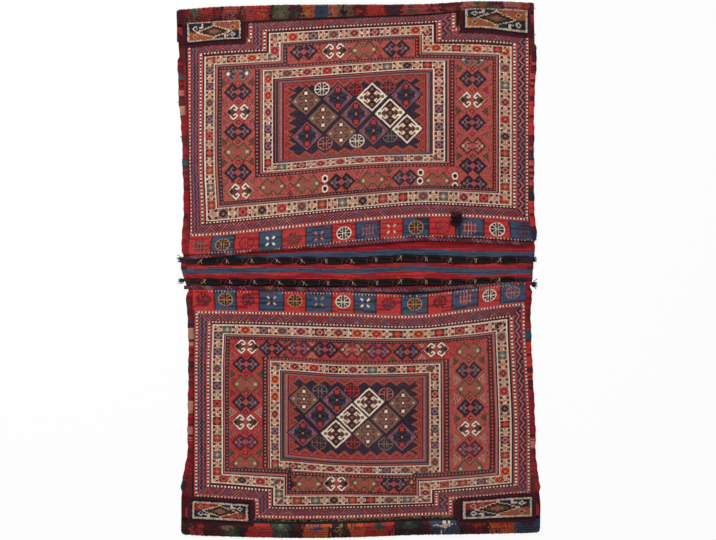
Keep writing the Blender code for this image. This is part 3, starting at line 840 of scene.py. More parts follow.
# The pile over each fold, from left to right: where each dye ends, the dye, and the dye of its figure
PILE_BANDS = {
    "upper": ((183, "maroon", "plum"), (191, "crimson", "olive"), (199, "olive", "grey"),
              (213, "scarlet", "madder"), (222, "maroon", "red"), (238, "madder", "rose"),
              (243, "ink", "maroon"), (255, "madder", "red"), (269, "scarlet", "orange"),
              (274, "maroon", "black"), (289, "olive", "grey"), (301, "plum", "green"),
              (313, "orange", "gold"), (330, "blue", "teal"), (337, "orange", "sand"),
              (352, "grey_brown", "black"), (366, "maroon", "red"), (384, "scarlet", "red"),
              (402, "plum", "ink"), (420, "madder", "green"), (440, "madder", "plum"),
              (462, "maroon", "red"), (474, "rose", "red"), (488, "olive", "madder"),
              (504, "plum", "olive"), (520, "rose", "red"), (530, "red", "orange"),
              (545, "maroon", "plum")),
    "lower": ((189, "ink", "maroon"), (202, "red", "maroon"), (220, "maroon", "ink"),
              (237, "green", "sand"), (247, "ink", "maroon"), (273, "scarlet", "red"),
              (289, "green", "grey"), (303, "ink", "maroon"), (330, "orange", "blue"),
              (350, "ink", "gold"), (364, "orange", "red"), (394, "scarlet", "green"),
              (424, "ink", "green"), (430, "maroon", "ink"), (460, "blue", "white"),
              (467, "ink", "maroon"), (487, "maroon", "scarlet"), (490, "ink", "black"),
              (515, "orange", "scarlet"), (545, "blue", "navy")),
}


def pile_dyes(pouch, p, v):
    """Dyes of the pile over the fold at a place along it, and from 0 at its inner edge to 1 at the fold."""
    p = p + 5.0 * (scatter(np.floor(p / 3), np.floor(v * 5)) - 0.5)
    ends = np.array([entry[0] for entry in PILE_BANDS[pouch]], float)
    starts = np.concatenate([[170.0], ends[:-1]])
    grounds = np.array([NAMES.index(entry[1]) for entry in PILE_BANDS[pouch]])
    figures = np.array([NAMES.index(entry[2]) for entry in PILE_BANDS[pouch]])
    i = np.clip(np.searchsorted(ends, p), 0, len(ends) - 1)
    x = (p - (starts[i] + ends[i]) / 2) / ((ends[i] - starts[i]) / 2)
    ragged = scatter(np.floor(p), np.floor(v * 9))
    figure = np.abs(x) + np.abs(v - 0.55) * 1.4 + 0.7 * (ragged - 0.5) < 0.55
    dye = np.where(figure, figures[i], grounds[i])
    return np.where((ragged > 0.95) | ((v < 0.05) & (ragged > 0.4)), NAMES.index("ink"), dye)


# Shares of the way to the fold at which the dark bar and the pile begin
DARK_BAR = 0.957
PILE_START = 0.966


def margins(chart):
    """The cloth outside the frames: selvedges at the sides, and dark bars before the pile."""
    share = mouth_share(chart.pouch, chart.q)
    ends = (chart.depth < -2.7) & ~chart.upright & (share > 0.5)
    worn = scatter(np.floor(chart.q / 2.3), 7)
    outside = chart.depth < FRAMES_START
    chart.paint(outside, "crimson")
    chart.paint(outside & (chart.side == 1), "red")
    chart.paint(outside & (worn > 0.6), "maroon")
    chart.paint(outside & (share > 0.80), "maroon")
    chart.paint(ends, "olive")
    chart.paint(ends & (chart.grain > 0.4), "black")
    chart.paint(ends & (chart.depth < -7.0), "red")
    pile = share > PILE_START
    chart.dye[pile] = pile_dyes(chart.pouch, chart.p[pile], np.full(pile.sum(), 0.3))
    chart.paint((share > DARK_BAR) & (share <= PILE_START), "black")


def face_chart(pouch):
    """The whole pattern of a face."""
    chart = Chart(pouch)
    frames(chart)
    margins(chart)
    red_band(chart)
    central_field(chart)
    squares(chart)
    for _, box, quarters in PANELS[pouch]:
        corner_panel(chart, box, quarters)
    return chart


# Yarn geometry

class Skein:
    """Points, faces, dyes and map places of one piece, gathered bit by bit."""

    def __init__(self):
        self.points = []
        self.count = 0
        self.groups = []

    def add(self, points, faces, dyes, places):
        """Points, faces of one number of sides, their colours or their corners' colours, and map places."""
        self.join(np.asarray(faces) + self.count, dyes, places)
        self.points.append(np.asarray(points, float))
        self.count += len(points)

    def join(self, faces, dyes, places):
        """More faces, between points that are there already."""
        dyes = np.asarray(dyes, float)
        if dyes.ndim == 2:
            dyes = dyes[:, None]
        self.groups.append((faces, np.broadcast_to(dyes, (*faces.shape, 3)), places))

    def piece(self, name, material):
        mesh = bpy.data.meshes.new(name)
        points = np.concatenate(self.points)
        mesh.vertices.add(len(points))
        mesh.vertices.foreach_set("co", points.ravel())
        sizes = np.concatenate([np.full(len(faces), faces.shape[1]) for faces, _, _ in self.groups])
        corners = np.concatenate([faces.ravel() for faces, _, _ in self.groups])
        mesh.loops.add(len(corners))
        mesh.loops.foreach_set("vertex_index", corners)
        mesh.polygons.add(len(sizes))
        mesh.polygons.foreach_set("loop_start", np.concatenate([[0], np.cumsum(sizes)[:-1]]))
        mesh.polygons.foreach_set("loop_total", sizes)
        mesh.update(calc_edges=True)
        dyes = np.concatenate([dye.reshape(-1, 3) for _, dye, _ in self.groups])
        layer = mesh.color_attributes.new(name="woven", type="FLOAT_COLOR", domain="CORNER")
        layer.data.foreach_set("color", np.column_stack([dyes, np.ones(len(dyes))]).ravel())
        places = np.concatenate([np.asarray(place, float).reshape(-1, 2) for _, _, place in self.groups])
        mesh.uv_layers.new(name="OFBake").data.foreach_set("uv", places.ravel())
        mesh.materials.append(material)
        mesh.shade_smooth()
        piece = bpy.data.objects.new(name, mesh)
        bpy.context.scene.collection.objects.link(piece)
        return piece


def grid_faces(rows, columns):
    """Quads of a grid of points stored row by row."""
    i, j = np.meshgrid(np.arange(rows - 1), np.arange(columns - 1), indexing="ij")
    a = (i * columns + j).ravel()
    return np.column_stack([a, a + 1, a + columns + 1, a + columns])


def grid_places(rows, columns, u0, v0, u1, v1):
    """Map places of a grid's corners, filling one rectangle of the map."""
    u = u0 + (u1 - u0) * np.arange(columns) / (columns - 1)
    v = v0 + (v1 - v0) * np.arange(rows) / (rows - 1)
    uu, vv = np.meshgrid(u, v)
    flat = np.column_stack([uu.ravel(), vv.ravel()])
    return flat[grid_faces(rows, columns)]


def box_places(u0, v0, u1, v1):
    """Map places of the four corners of each box."""
    corners = ((u0, v0), (u1, v0), (u1, v1), (u0, v1))
    return np.stack([np.column_stack(np.broadcast_arrays(u, v)) for u, v in corners], axis=1)


def plain_dye(colour):
    """One colour for every step of a tube."""
    return lambda step: np.tile(colour, (len(step), 1))


def lay_frames(path):
    """Directions along, across and above each point of a path, with above kept near the sky."""
    ahead = np.gradient(path, axis=0)
    ahead /= np.linalg.norm(ahead, axis=1, keepdims=True)
    side = np.cross(np.broadcast_to([0.0, 0.0, 1.0], ahead.shape), ahead)
    side /= np.maximum(np.linalg.norm(side, axis=1, keepdims=True), 1e-9)
    return ahead, side, np.cross(ahead, side)


def tube(path, across_radius, up_radius, sides, band=(0.0, 1.0)):
    """A closed tube along a path: its points, faces and map places. A radius may change along it."""
    path = np.asarray(path, float)
    _, side, up = lay_frames(path)
    count = len(path)
    turn = 2 * np.pi * np.arange(sides) / sides
    wide = np.broadcast_to(across_radius, count)[:, None, None]
    tall = np.broadcast_to(up_radius, count)[:, None, None]
    ring = wide * np.cos(turn)[None, :, None] * side[:, None]
    ring = ring + tall * np.sin(turn)[None, :, None] * up[:, None]
    points = (path[:, None] + ring).reshape(-1, 3)
    i, j = np.meshgrid(np.arange(count - 1), np.arange(sides), indexing="ij")
    a, b = (i * sides + j).ravel(), (i * sides + (j + 1) % sides).ravel()
    faces = np.column_stack([a, a + sides, b + sides, b])
    low, high = band
    u0 = (i / (count - 1)).ravel()
    u1 = ((i + 1) / (count - 1)).ravel()
    v0 = low + (high - low) * (j / sides).ravel()
    v1 = low + (high - low) * ((j + 1) / sides).ravel()
    places = box_places(u0, v0, u1, v1)
    return points, faces, places, i.ravel()


def add_tube(skein, path, across_radius, up_radius, sides, dye_at, band=(0.0, 1.0)):
    """Adds a tube with its two ends closed. dye_at gives the colour of each step along it."""
    points, faces, places, step = tube(path, across_radius, up_radius, sides, band)
    skein.add(points, faces, dye_at(step), places)
    last = len(points) - sides
    caps = np.array([np.arange(sides), last + np.arange(sides)[::-1]])
    low = band[0] + 0.02 * (band[1] - band[0])
    turn = np.arange(sides)
    spot = np.array([[0.001, low]]) + 0.0005 * np.column_stack([np.cos(turn), np.sin(turn)])
    base = skein.count - len(points)
    steps = np.array([0, len(path) - 2])
    skein.join(caps + base, dye_at(steps), np.stack([spot, spot]))


def resample(points, spacing):
    """Evenly spaced points along a polyline, smoothed."""
    points = np.asarray(points, float)
    lengths = np.concatenate([[0], np.cumsum(np.linalg.norm(np.diff(points, axis=0), axis=1))])
    count = max(4, int(lengths[-1] / spacing) + 1)
    at = np.linspace(0, lengths[-1], count)
    return smooth(at, lengths, points)


def plait(skein, path, half_width, half_height, strand, pitch, dyes, bands=3, spacing=0.0022):
    """Three strands plaited flat along a path, each in its own band of the map."""
    path = resample(path, spacing)
    _, side, up = lay_frames(path)
    run = np.concatenate([[0], np.cumsum(np.linalg.norm(np.diff(path, axis=0), axis=1))])
    for k in range(3):
        phase = 2 * np.pi * (run / pitch + k / 3)
        swing = half_width * np.sin(phase)
        rise = half_height * np.sin(2 * phase)
        line = path + side * swing[:, None] + up * rise[:, None]

        def dye_at(step, k=k):
            return yarn_dye(dyes[k], run[step], k)

        band = (k / bands, (k + 0.96) / bands)
        add_tube(skein, line, strand * 1.15, strand * 0.8, 6, dye_at, band)


def yarn_dye(names, run, seed):
    """Colour along a yarn: its dyes by turns in uneven stretches, each a little lighter or darker."""
    names = (names,) if isinstance(names, str) else names
    table = np.array([DYES[name] for name in names])
    stretch = np.floor(np.asarray(run) / 0.021 + 0.7 * seed)
    chosen = table[(scatter(stretch, np.full_like(stretch, seed)) * len(names)).astype(int)]
    shade = 0.78 + 0.44 * scatter(np.floor(np.asarray(run) / 0.0045), np.full_like(stretch, seed + 5))
    return chosen * shade[:, None]


# Materials

class Socket:
    """A value or colour in a material, on which sums can be written."""

    def __init__(self, tree, socket):
        self.tree = tree
        self.socket = socket

    def maths(self, operation, *others):
        values = dict(enumerate((self, *others)))
        return add_node(self.tree, "ShaderNodeMath", {"operation": operation}, values)

    def __add__(self, other):
        return self.maths("ADD", other)

    __radd__ = __add__

    def __sub__(self, other):
        return self.maths("SUBTRACT", other)

    def __mul__(self, other):
        return self.maths("MULTIPLY", other)


def add_node(tree, kind, settings=None, values=None, output=0):
    """A node with its settings made first, then its sockets' values or links."""
    node = tree.nodes.new(kind)
    for key, value in (settings or {}).items():
        setattr(node, key, value)
    for key, value in (values or {}).items():
        if isinstance(value, Socket):
            tree.links.new(value.socket, node.inputs[key])
        else:
            node.inputs[key].default_value = value
    return Socket(tree, node.outputs[output])


def tinted(tree, colour, light):
    """A colour made lighter or darker by a value."""
    return add_node(tree, "ShaderNodeVectorMath", {"operation": "SCALE"}, {0: colour, "Scale": light})


def blended(tree, factor, first, second):
    """A mix of two colours."""
    values = {0: factor, 6: first, 7: second}
    return add_node(tree, "ShaderNodeMix", {"data_type": "RGBA"}, values, output=2)


def noise(tree, where, scale, detail, rough=0.55):
    values = {"Vector": where, "Scale": scale, "Detail": detail, "Roughness": rough}
    return add_node(tree, "ShaderNodeTexNoise", {}, values)


# Sizes of the noises in the wool, as steps to a metre, how far dye lots differ, and the colour of its dust
LOT_SCALE = 9.0
LOT_SHARE = 0.30
KNOT_SCALE = 330.0
DUST_SCALE = 4.0
DUST = (0.30, 0.20, 0.17, 1.0)


def wool_material(name, fibre_scale, depth, roughness, fade):
    """Dyed wool: the yarn's own dye with uneven dye lots, dust and fibre, and a soft fibre relief."""
    material = bpy.data.materials.new(name)
    material.use_nodes = True
    tree = material.node_tree
    shader = tree.nodes["Principled BSDF"]
    where = add_node(tree, "ShaderNodeTexCoord", output=3)
    dye = add_node(tree, "ShaderNodeAttribute", {"attribute_name": "woven"})
    lots = noise(tree, where, LOT_SCALE, 2.0)
    fibres = noise(tree, where, fibre_scale, 3.0, 0.7)
    knots = noise(tree, where, KNOT_SCALE, 2.0, 0.6)
    light = 1.0 + (lots - 0.5) * LOT_SHARE + (knots - 0.5) * 1.1 + (fibres - 0.5) * 0.30
    colour = tinted(tree, dye, light)
    dust = noise(tree, where, DUST_SCALE, 4.0)
    worn = (dust - 0.40) * fade
    worn = worn.maths("MAXIMUM", 0.0).maths("MINIMUM", 0.5)
    colour = blended(tree, worn, colour, DUST)
    tree.links.new(colour.socket, shader.inputs["Base Color"])
    rough = (roughness - 0.04) + fibres * 0.08
    tree.links.new(rough.socket, shader.inputs["Roughness"])
    shader.inputs["Specular IOR Level"].default_value = 0.10
    bump = add_node(tree, "ShaderNodeBump", {}, {"Strength": 0.8, "Distance": depth,
                                                  "Height": fibres + knots * 0.8})
    tree.links.new(bump.socket, shader.inputs["Normal"])
    return material


def floor_material():
    """White ground: seen directly or mirrored it is mostly plain white, and still takes the shadow."""
    material = bpy.data.materials.new("white_ground")
    material.use_nodes = True
    tree = material.node_tree
    shader = tree.nodes["Principled BSDF"]
    shader.inputs["Base Color"].default_value = (0.97, 0.97, 0.97, 1.0)
    shader.inputs["Roughness"].default_value = 1.0
    shader.inputs["Specular IOR Level"].default_value = 0.0
    white = add_node(tree, "ShaderNodeEmission", {}, {"Color": (1.0, 1.0, 1.0, 1.0), "Strength": 1.0})
    seen = add_node(tree, "ShaderNodeLightPath")
    for name in ("Is Glossy Ray", "Is Transmission Ray"):
        seen = seen.maths("MAXIMUM", add_node(tree, "ShaderNodeLightPath", output=name))
    lit = Socket(tree, shader.outputs[0])
    shown = add_node(tree, "ShaderNodeMixShader", {}, {0: seen * FLOOR_GLOW, 1: lit, 2: white})
    tree.links.new(shown.socket, tree.nodes["Material Output"].inputs["Surface"])
    return material


# The pieces

def knot_shades(shape):
    """Each knot is a little lighter or darker than the next, and each row a little too."""
    rows = 0.96 + 0.08 * RNG.random((shape[0], 1))
    return rows * (0.86 + 0.28 * RNG.random(shape))


SLIT_DEPTH = 0.0035
SLIT_HALF = 0.6


def front_weave(chart, wool):
    """A face: one knot for each step of its chart, slit between the squares."""
    pouch = chart.pouch
    (left, right), (top, bottom) = FACES[pouch]["columns"], FACES[pouch]["rows"]
    p, q = np.meshgrid(np.arange(left, right + 1, dtype=float), np.arange(top, bottom + 1, dtype=float))
    x, y = lie_of_cloth(pouch, p, q)
    z = face_height(pouch, p, q)
    z += 0.0005 * (RNG.random(z.shape) - 0.5)
    strip = SQUARES[pouch]
    for bound in strip["bounds"][1:-1]:
        slit = (np.abs(p - bound) < SLIT_HALF) & (q > strip["rows"][0]) & (q < strip["rows"][1])
        z = np.where(slit, z - SLIT_DEPTH, z)
    points = np.stack([x, y, z], axis=-1).reshape(-1, 3)
    under = points - np.array([0.0, 0.0, CLOTH_THICK])
    rows, columns = p.shape
    corners = [chart.dye[down::2, right::2] for down, right in ((1, 0), (1, 1), (0, 1), (0, 0))]
    dyes = DYE_TABLE[np.stack(corners, axis=-1)] * knot_shades((rows - 1, columns - 1))[..., None, None]
    skein = Skein()
    faces = grid_faces(rows, columns)[:, ::-1]
    places = grid_places(rows, columns, 0.0, 1.0, 1.0, 0.06)[:, ::-1]
    skein.add(points, faces, dyes.reshape(-1, 4, 3), places)
    add_underside(skein, under, rows, columns, DYES["maroon"])
    piece = skein.piece(f"{pouch}_front_weave", wool)
    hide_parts(f"{pouch}_face")
    return piece


def add_underside(skein, under, rows, columns, dye):
    """A coarse lining under a sheet, joined to it all round."""
    keep_rows = np.unique(np.append(np.arange(0, rows, 6), rows - 1))
    keep_columns = np.unique(np.append(np.arange(0, columns, 6), columns - 1))
    low = under.reshape(rows, columns, 3)[np.ix_(keep_rows, keep_columns)].reshape(-1, 3)
    base = skein.count
    low_faces = grid_faces(len(keep_rows), len(keep_columns))
    places = grid_places(len(keep_rows), len(keep_columns), 0.0, 0.0, 1.0, 0.04)
    skein.add(low, low_faces, dye, places)
    wide = len(keep_columns)
    sides = (
        (keep_columns, lambda j: j, lambda k: k, False),
        (keep_columns, lambda j: (rows - 1) * columns + j, lambda k: (len(keep_rows) - 1) * wide + k, True),
        (keep_rows, lambda i: i * columns, lambda k: k * wide, True),
        (keep_rows, lambda i: i * columns + columns - 1, lambda k: k * wide + wide - 1, False),
    )
    for kept, upper_at, lower_at, flip in sides:
        for k in range(len(kept) - 1):
            upper = [upper_at(n) for n in range(kept[k], kept[k + 1] + 1)]
            loop = upper + [base + lower_at(k + 1), base + lower_at(k)]
            loop = loop[::-1] if flip else loop
            turn = 2 * np.pi * np.arange(len(loop)) / len(loop)
            spots = np.column_stack([0.5 + 0.002 * np.cos(turn), 0.05 + 0.002 * np.sin(turn)])
            skein.join(np.array([loop]), dye, spots[None])


# Stripes of the bridge from the top down: dye, and the pixel row where it ends at each of these columns
STRIPE_COLUMNS = (190, 250, 300, 356, 415, 470, 525)
STRIPES = (
    ("crimson", (252, 255, 252.7, 251.4, 248.9, 250.8, 252.1)),
    ("blue", (259.8, 257.7, 257.7, 256.9, 254.6, 256.6, 256.2)),
    ("black", (264.6, 262.9, 263.2, 263.9, 262.6, 263.6, 263.6)),
    ("crimson", (268.9, 267.8, 268.3, 268.7, 266.1, 268.4, 269)),
    ("blue", (273.5, 272.9, 272.3, 273.4, 270.6, 274.4, 274.1)),
    ("crimson", (278.4, 279, 279, 279.5, 278.9, 279.8, 277.3)),
    ("black", (285, 285.5, 287.5, 286.5, 286.5, 284, 283)),
)
BACK_STRIPES = (("crimson", 6), ("blue", 5), ("crimson", 5), ("black", 7), ("crimson", 5), ("blue", 5),
                ("maroon", 9), ("crimson", 6))
STREAKS = {
    "crimson": ("crimson", "crimson", "crimson", "scarlet"),
    "blue": ("blue", "blue", "navy", "blue", "teal"),
    "black": ("black", "ink", "black"),
    "maroon": ("maroon", "crimson"),
}


def stripe_dyes(x, y):
    """Dyes of the plain striped weave at a place, each stripe streaked with others of its dye pot."""
    px, py = x / PIXEL + MIDDLE_X, MIDDLE_Y - y / PIXEL
    pick = np.floor(py * 1.4)
    choice = scatter(pick, np.floor(px / 26 + 3 * scatter(pick, 5)))
    dye = np.zeros(py.shape, int)

    def stain(where, name):
        streaks = np.array([NAMES.index(streak) for streak in STREAKS[name]])
        dye[where] = streaks[(choice[where] * len(streaks)).astype(int)]

    at = (py + 1.6 * np.sin(6.5 * x + 0.6) - 286) % sum(width for _, width in BACK_STRIPES)
    level = 0.0
    for name, width in BACK_STRIPES:
        stain((at >= level) & (at < level + width), name)
        level += width
    start = np.full(py.shape, 240.0)
    for name, ends in STRIPES:
        end = smooth(px, STRIPE_COLUMNS, ends)
        stain((py >= start) & (py < end), name)
        start = end
    return dye


BACK_REACH = 0.714
BACK_STEP = 0.0062
BACK_COLUMNS = 101
BRIDGE_REACH = 0.1
BRIDGE_STEP = 0.0020
RIB_PITCH = 0.021


def back_rows():
    """Y of the rows of the back's mesh, from the top down and closest on the bridge."""
    half_rows = int(BACK_REACH / BACK_STEP)
    y = np.linspace(BACK_REACH, -BACK_REACH, 2 * half_rows + 1)
    bridge = np.arange(-BRIDGE_REACH, BRIDGE_REACH + BRIDGE_STEP / 2, BRIDGE_STEP)
    return np.unique(np.concatenate([y[np.abs(y) > BRIDGE_REACH], bridge]))[::-1]


def add_rim(skein, rows, columns):
    """Joins the edges of two grids that are stored one after the other."""
    count = rows * columns
    right = np.arange(1, rows) * columns + columns - 1
    low = (rows - 1) * columns + np.arange(columns - 2, -1, -1)
    left = np.arange(rows - 2, -1, -1) * columns
    edge = np.concatenate([np.arange(columns), right, low, left])
    rim = np.column_stack([edge[:-1], edge[1:], edge[1:] + count, edge[:-1] + count])
    run = np.arange(len(rim)) / len(rim)
    skein.join(rim, DYES["maroon"], box_places(run, 0.492, run + 1 / len(rim), 0.508))


def back_weave(wool):
    """The striped back, which is the bridge between the mouths too."""
    s, y = np.meshgrid(np.linspace(0, 1, BACK_COLUMNS), back_rows())
    left, right = side_edge("left", y), side_edge("right", y)
    x = left + (right - left) * s
    lift = side_lift(from_side(x, y))
    ribs = 0.0003 * np.sin(x * 2 * np.pi / RIB_PITCH) + 0.0002 * (RNG.random(x.shape) - 0.5)
    top = np.stack([x, y, CLOTH_THICK + lift + ribs], axis=-1).reshape(-1, 3)
    low = np.stack([x, y, 0.0002 + lift], axis=-1).reshape(-1, 3)
    rows, columns = x.shape
    faces = grid_faces(rows, columns)
    centre = top[faces].mean(axis=1)
    dyes = DYE_TABLE[stripe_dyes(centre[:, 0], centre[:, 1])]
    dyes = dyes * (0.85 + 0.30 * RNG.random(len(faces)))[:, None]
    skein = Skein()
    skein.add(top, faces[:, ::-1], dyes, grid_places(rows, columns, 0, 0.51, 1, 1)[:, ::-1])
    skein.add(low, faces, dyes, grid_places(rows, columns, 0, 0, 1, 0.49))
    add_rim(skein, rows, columns)
    piece = skein.piece("back_weave", wool)
    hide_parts("back_cloth")
    return piece


# A knot of pile is narrower at its tip, and its sides are painted darker as shade
KNOT_TAPER = 0.72
KNOT_SIDE_SHADE = 0.62


def add_knots(skein, roots, normals, leans, dyes, half, height):
    """A short tapered tuft on each root, standing along its normal and leaning a little."""
    count = len(roots)
    normals = normals / np.linalg.norm(normals, axis=1, keepdims=True)
    side = np.cross(normals, [0.0, 1.0, 0.0])
    side /= np.linalg.norm(side, axis=1, keepdims=True)
    fore = np.cross(normals, side)
    tall = (height * (0.75 + 0.5 * RNG.random(count)))[:, None]
    wide = (half * (0.9 + 0.3 * RNG.random(count)))[:, None]
    turn = RNG.random(count)[:, None] * np.pi
    angles = [turn + k * np.pi / 2 for k in range(4)]
    outs = [np.cos(angle) * side + np.sin(angle) * fore for angle in angles]
    base = np.stack([roots + wide * out for out in outs], axis=1)
    tips = np.stack([roots + normals * tall + leans + KNOT_TAPER * wide * out for out in outs], axis=1)
    points = np.concatenate([base, tips], axis=1).reshape(-1, 3)
    points[:, 2] = np.maximum(points[:, 2], 0.0001)
    walls = [[k, (k + 1) % 4, 4 + (k + 1) % 4, 4 + k] for k in range(4)]
    start = np.arange(count)[:, None] * 8
    quads = np.concatenate([start + np.array([wall]) for wall in (*walls, [4, 5, 6, 7])])
    # The four sides of each knot take its dye darkened, as painted shade; the tip keeps the dye
    shades = np.concatenate([dyes * KNOT_SIDE_SHADE] * 4 + [dyes])
    skein.add(points, quads, shades, knot_places(count))


def knot_places(count):
    """Map places of knots: a square cell for each, with room for its five faces."""
    cells = math.ceil(math.sqrt(count))
    cell = 1 / cells
    column = (np.arange(count) % cells) * cell
    row = (np.arange(count) // cells) * cell
    marks = []
    for k in range(5):
        u, v = (k % 3) * 0.32 + 0.02, (k // 3) * 0.48 + 0.02
        square = np.array([[u, v], [u + 0.28, v], [u + 0.28, v + 0.44], [u, v + 0.44]]) * cell
        marks.append(np.stack([column, row], axis=1)[:, None] + square[None])
    return np.concatenate(marks)


PILE_HEIGHT = 0.0046
PILE_FOOT = 0.0004
KNOT = 0.0030
FOLD_OUT = {"upper": 0.0008, "lower": 0.0075}
FOLD_SQUASH = 0.9
FOLD_WALL = 0.0035
CORNER_ROUND = 0.018
UNDER_REACH = {"upper": 0.086, "lower": 0.080}
UNDER_ROWS = 22
STRIPED_ROW = 16
PILE_ROWS = {"upper": 8.0, "lower": 5.5}


class Fold:
    """The folded end of a pouch: its edge on the chart, and the round that the cloth makes there."""

    def __init__(self, pouch):
        self.pouch = pouch
        self.sign = 1 if pouch == "upper" else -1
        self.left, self.right = FACES[pouch]["columns"]
        self.row = float(FACES[pouch]["rows"][0 if pouch == "upper" else 1])
        self.p = np.linspace(self.left, self.right, (self.right - self.left) // 2 + 1)
        row = np.full_like(self.p, self.row)
        self.x, self.y = lie_of_cloth(pouch, self.p, row)
        self.low = np.full_like(self.p, PILE_HEIGHT + PILE_FOOT)
        self.radius = (face_height(pouch, self.p, row) - self.low) / 2
        from_corner = np.minimum(self.p - self.left, self.right - self.p) * PIXEL / CORNER_ROUND
        rounding = np.sqrt(1 - (1 - np.clip(from_corner, 0.02, 1)) ** 2)
        self.depth = (self.radius * FOLD_SQUASH + FOLD_OUT[pouch]) * rounding


def fold_cloth(fold, wool):
    """Cloth round a fold, and under it to where the back begins."""
    arc = [(0.0, 1.0)] + [(math.sin(a), math.cos(a)) for a in np.linspace(0.15 * math.pi, math.pi, 7)]
    profile = [(out * fold.depth, fold.low + fold.radius + up * fold.radius) for out, up in arc]
    for reach in np.linspace(0.004, UNDER_REACH[fold.pouch], UNDER_ROWS):
        height = fold.low * (1 - ramp(reach, 0.026, 0.034)) + 0.0003
        profile.append((np.full_like(fold.p, -reach), height))
    points = np.stack([np.column_stack([fold.x, fold.y + fold.sign * out, z]) for out, z in profile])
    inner = points.copy()
    round_rows = len(arc) + 1
    centre = points[:round_rows, :, 2].mean(axis=0)
    inner[..., 2] += np.where(inner[..., 2] < centre[None], FOLD_WALL, -FOLD_WALL)
    inner[:round_rows, :, 1] -= fold.sign * FOLD_WALL
    rows, columns = points.shape[:2]
    points = points.reshape(-1, 3)
    faces = grid_faces(rows, columns)
    if fold.sign > 0:
        faces = faces[:, ::-1]
    x, y, _ = points[faces].mean(axis=1).T
    # The cloth round the fold takes the pile's dyes at half brightness: painted shade under and between the
    # knots
    ground = DYE_TABLE[pile_dyes(fold.pouch, x / PIXEL + MIDDLE_X, np.full(len(faces), 0.4))] * 0.5
    striped = np.repeat(np.arange(rows - 1), columns - 1) > STRIPED_ROW
    ground = np.where(striped[:, None], DYE_TABLE[stripe_dyes(x, y)], ground)
    skein = Skein()
    skein.add(points, faces, ground, grid_places(rows, columns, 0, 0, 1, 0.10))
    places = grid_places(rows, columns, 0, 0.10, 1, 0.2)
    skein.add(inner.reshape(-1, 3), faces[:, ::-1], DYES["maroon"], places)
    return skein.piece(f"{fold.pouch}_fold_weave", wool)


def fold_knots(fold, wool):
    """Pile on top of a fold, round it and a little way under."""
    pouch, sign = fold.pouch, fold.sign
    columns = np.arange(fold.left + 0.5, fold.right - 0.5, KNOT / PIXEL)
    lines = []

    def strung(k, row):
        """A line of knots, set off from the one before: chart places, X and Y."""
        p = columns + 0.5 * (k % 2) + 0.3 * (RNG.random(len(columns)) - 0.5)
        x, y = lie_of_cloth(pouch, p, np.full_like(p, row))
        return p, x, y

    for k, step in enumerate(np.arange(0.5, PILE_ROWS[pouch], 1.0)):
        row = fold.row + sign * step
        p, x, y = strung(k, row)
        z = face_height(pouch, p, np.full_like(p, row))
        lines.append((p, (x, y, z), (0.0, 0.1 * sign, 1.0), 1 - step / 9))
    for k, angle in enumerate(np.linspace(0.08 * math.pi, 0.98 * math.pi, 9)):
        p, x, y = strung(k, fold.row)
        radius = np.interp(p, fold.p, fold.radius)
        out = sign * np.interp(p, fold.p, fold.depth) * math.sin(angle)
        z = np.interp(p, fold.p, fold.low) + radius + radius * math.cos(angle)
        lines.append((p, (x, y + out, z), (0.0, sign * math.sin(angle), math.cos(angle)), 1.0))
    for k, reach in enumerate(np.arange(0.003, 0.028, 0.0040)):
        p, x, y = strung(k, fold.row)
        z = np.interp(p, fold.p, fold.low)
        lines.append((p, (x, y - sign * reach, z), (0.0, 0.0, -1.0), 0.6))
    p = np.concatenate([line[0] for line in lines])
    roots = np.concatenate([np.column_stack(line[1]) for line in lines])
    normals = np.repeat([line[2] for line in lines], len(columns), axis=0)
    v = np.repeat([line[3] for line in lines], len(columns))
    dyes = DYE_TABLE[pile_dyes(pouch, p, v)] * (0.95 + 0.5 * RNG.random(len(p)))[:, None]
    dyes = 0.88 * dyes + 0.12 * DYES["grey_brown"]
    leans = 0.0011 * (RNG.random((len(p), 3)) - 0.5)
    skein = Skein()
    add_knots(skein, roots, normals, leans, dyes, 0.0019, PILE_HEIGHT - 0.0006)
    return skein.piece(f"{pouch}_fold_pile", wool)


PANEL_KNOT = 0.92


def corner_pile(pouch, chart, side, box, wool):
    """A corner panel of pile, with its dark surround."""
    left, top, right, bottom = box
    face_left, face_right = FACES[pouch]["columns"]
    low_p = face_left + 1 if side == "left" else left - 7
    high_p = right + 5 if side == "left" else face_right - 1
    low_q = top - 3 if pouch == "upper" else top - 4.5
    high_q = bottom + 4.5 if pouch == "upper" else bottom + 4
    p, q = np.meshgrid(np.arange(low_p, high_p, PANEL_KNOT), np.arange(low_q, high_q, PANEL_KNOT))
    p, q = p.ravel(), q.ravel()
    count = len(p)
    p = p + 0.35 * (RNG.random(count) - 0.5)
    q = q + 0.35 * (RNG.random(count) - 0.5)
    x, y = lie_of_cloth(pouch, p, q)
    z = face_height(pouch, p, q)
    row = np.clip((2 * (q - FACES[pouch]["rows"][0])).astype(int), 0, chart.dye.shape[0] - 1)
    column = np.clip((2 * (p - face_left)).astype(int), 0, chart.dye.shape[1] - 1)
    dyes = DYE_TABLE[chart.dye[row, column]] * (1.0 + 0.45 * RNG.random(count))[:, None]
    lean_x = 0.0010 * (RNG.random(count) - 0.5)
    lean_y = 0.0010 * (RNG.random(count) - 0.3)
    leans = np.column_stack([lean_x, lean_y, np.zeros(count)])
    roots = np.column_stack([x, y, z - PILE_FOOT])
    skein = Skein()
    add_knots(skein, roots, np.tile([0.0, 0.0, 1.0], (count, 1)), leans, dyes, 0.0018, PILE_HEIGHT)
    return skein.piece(f"{pouch}_{side}_corner_pile", wool)


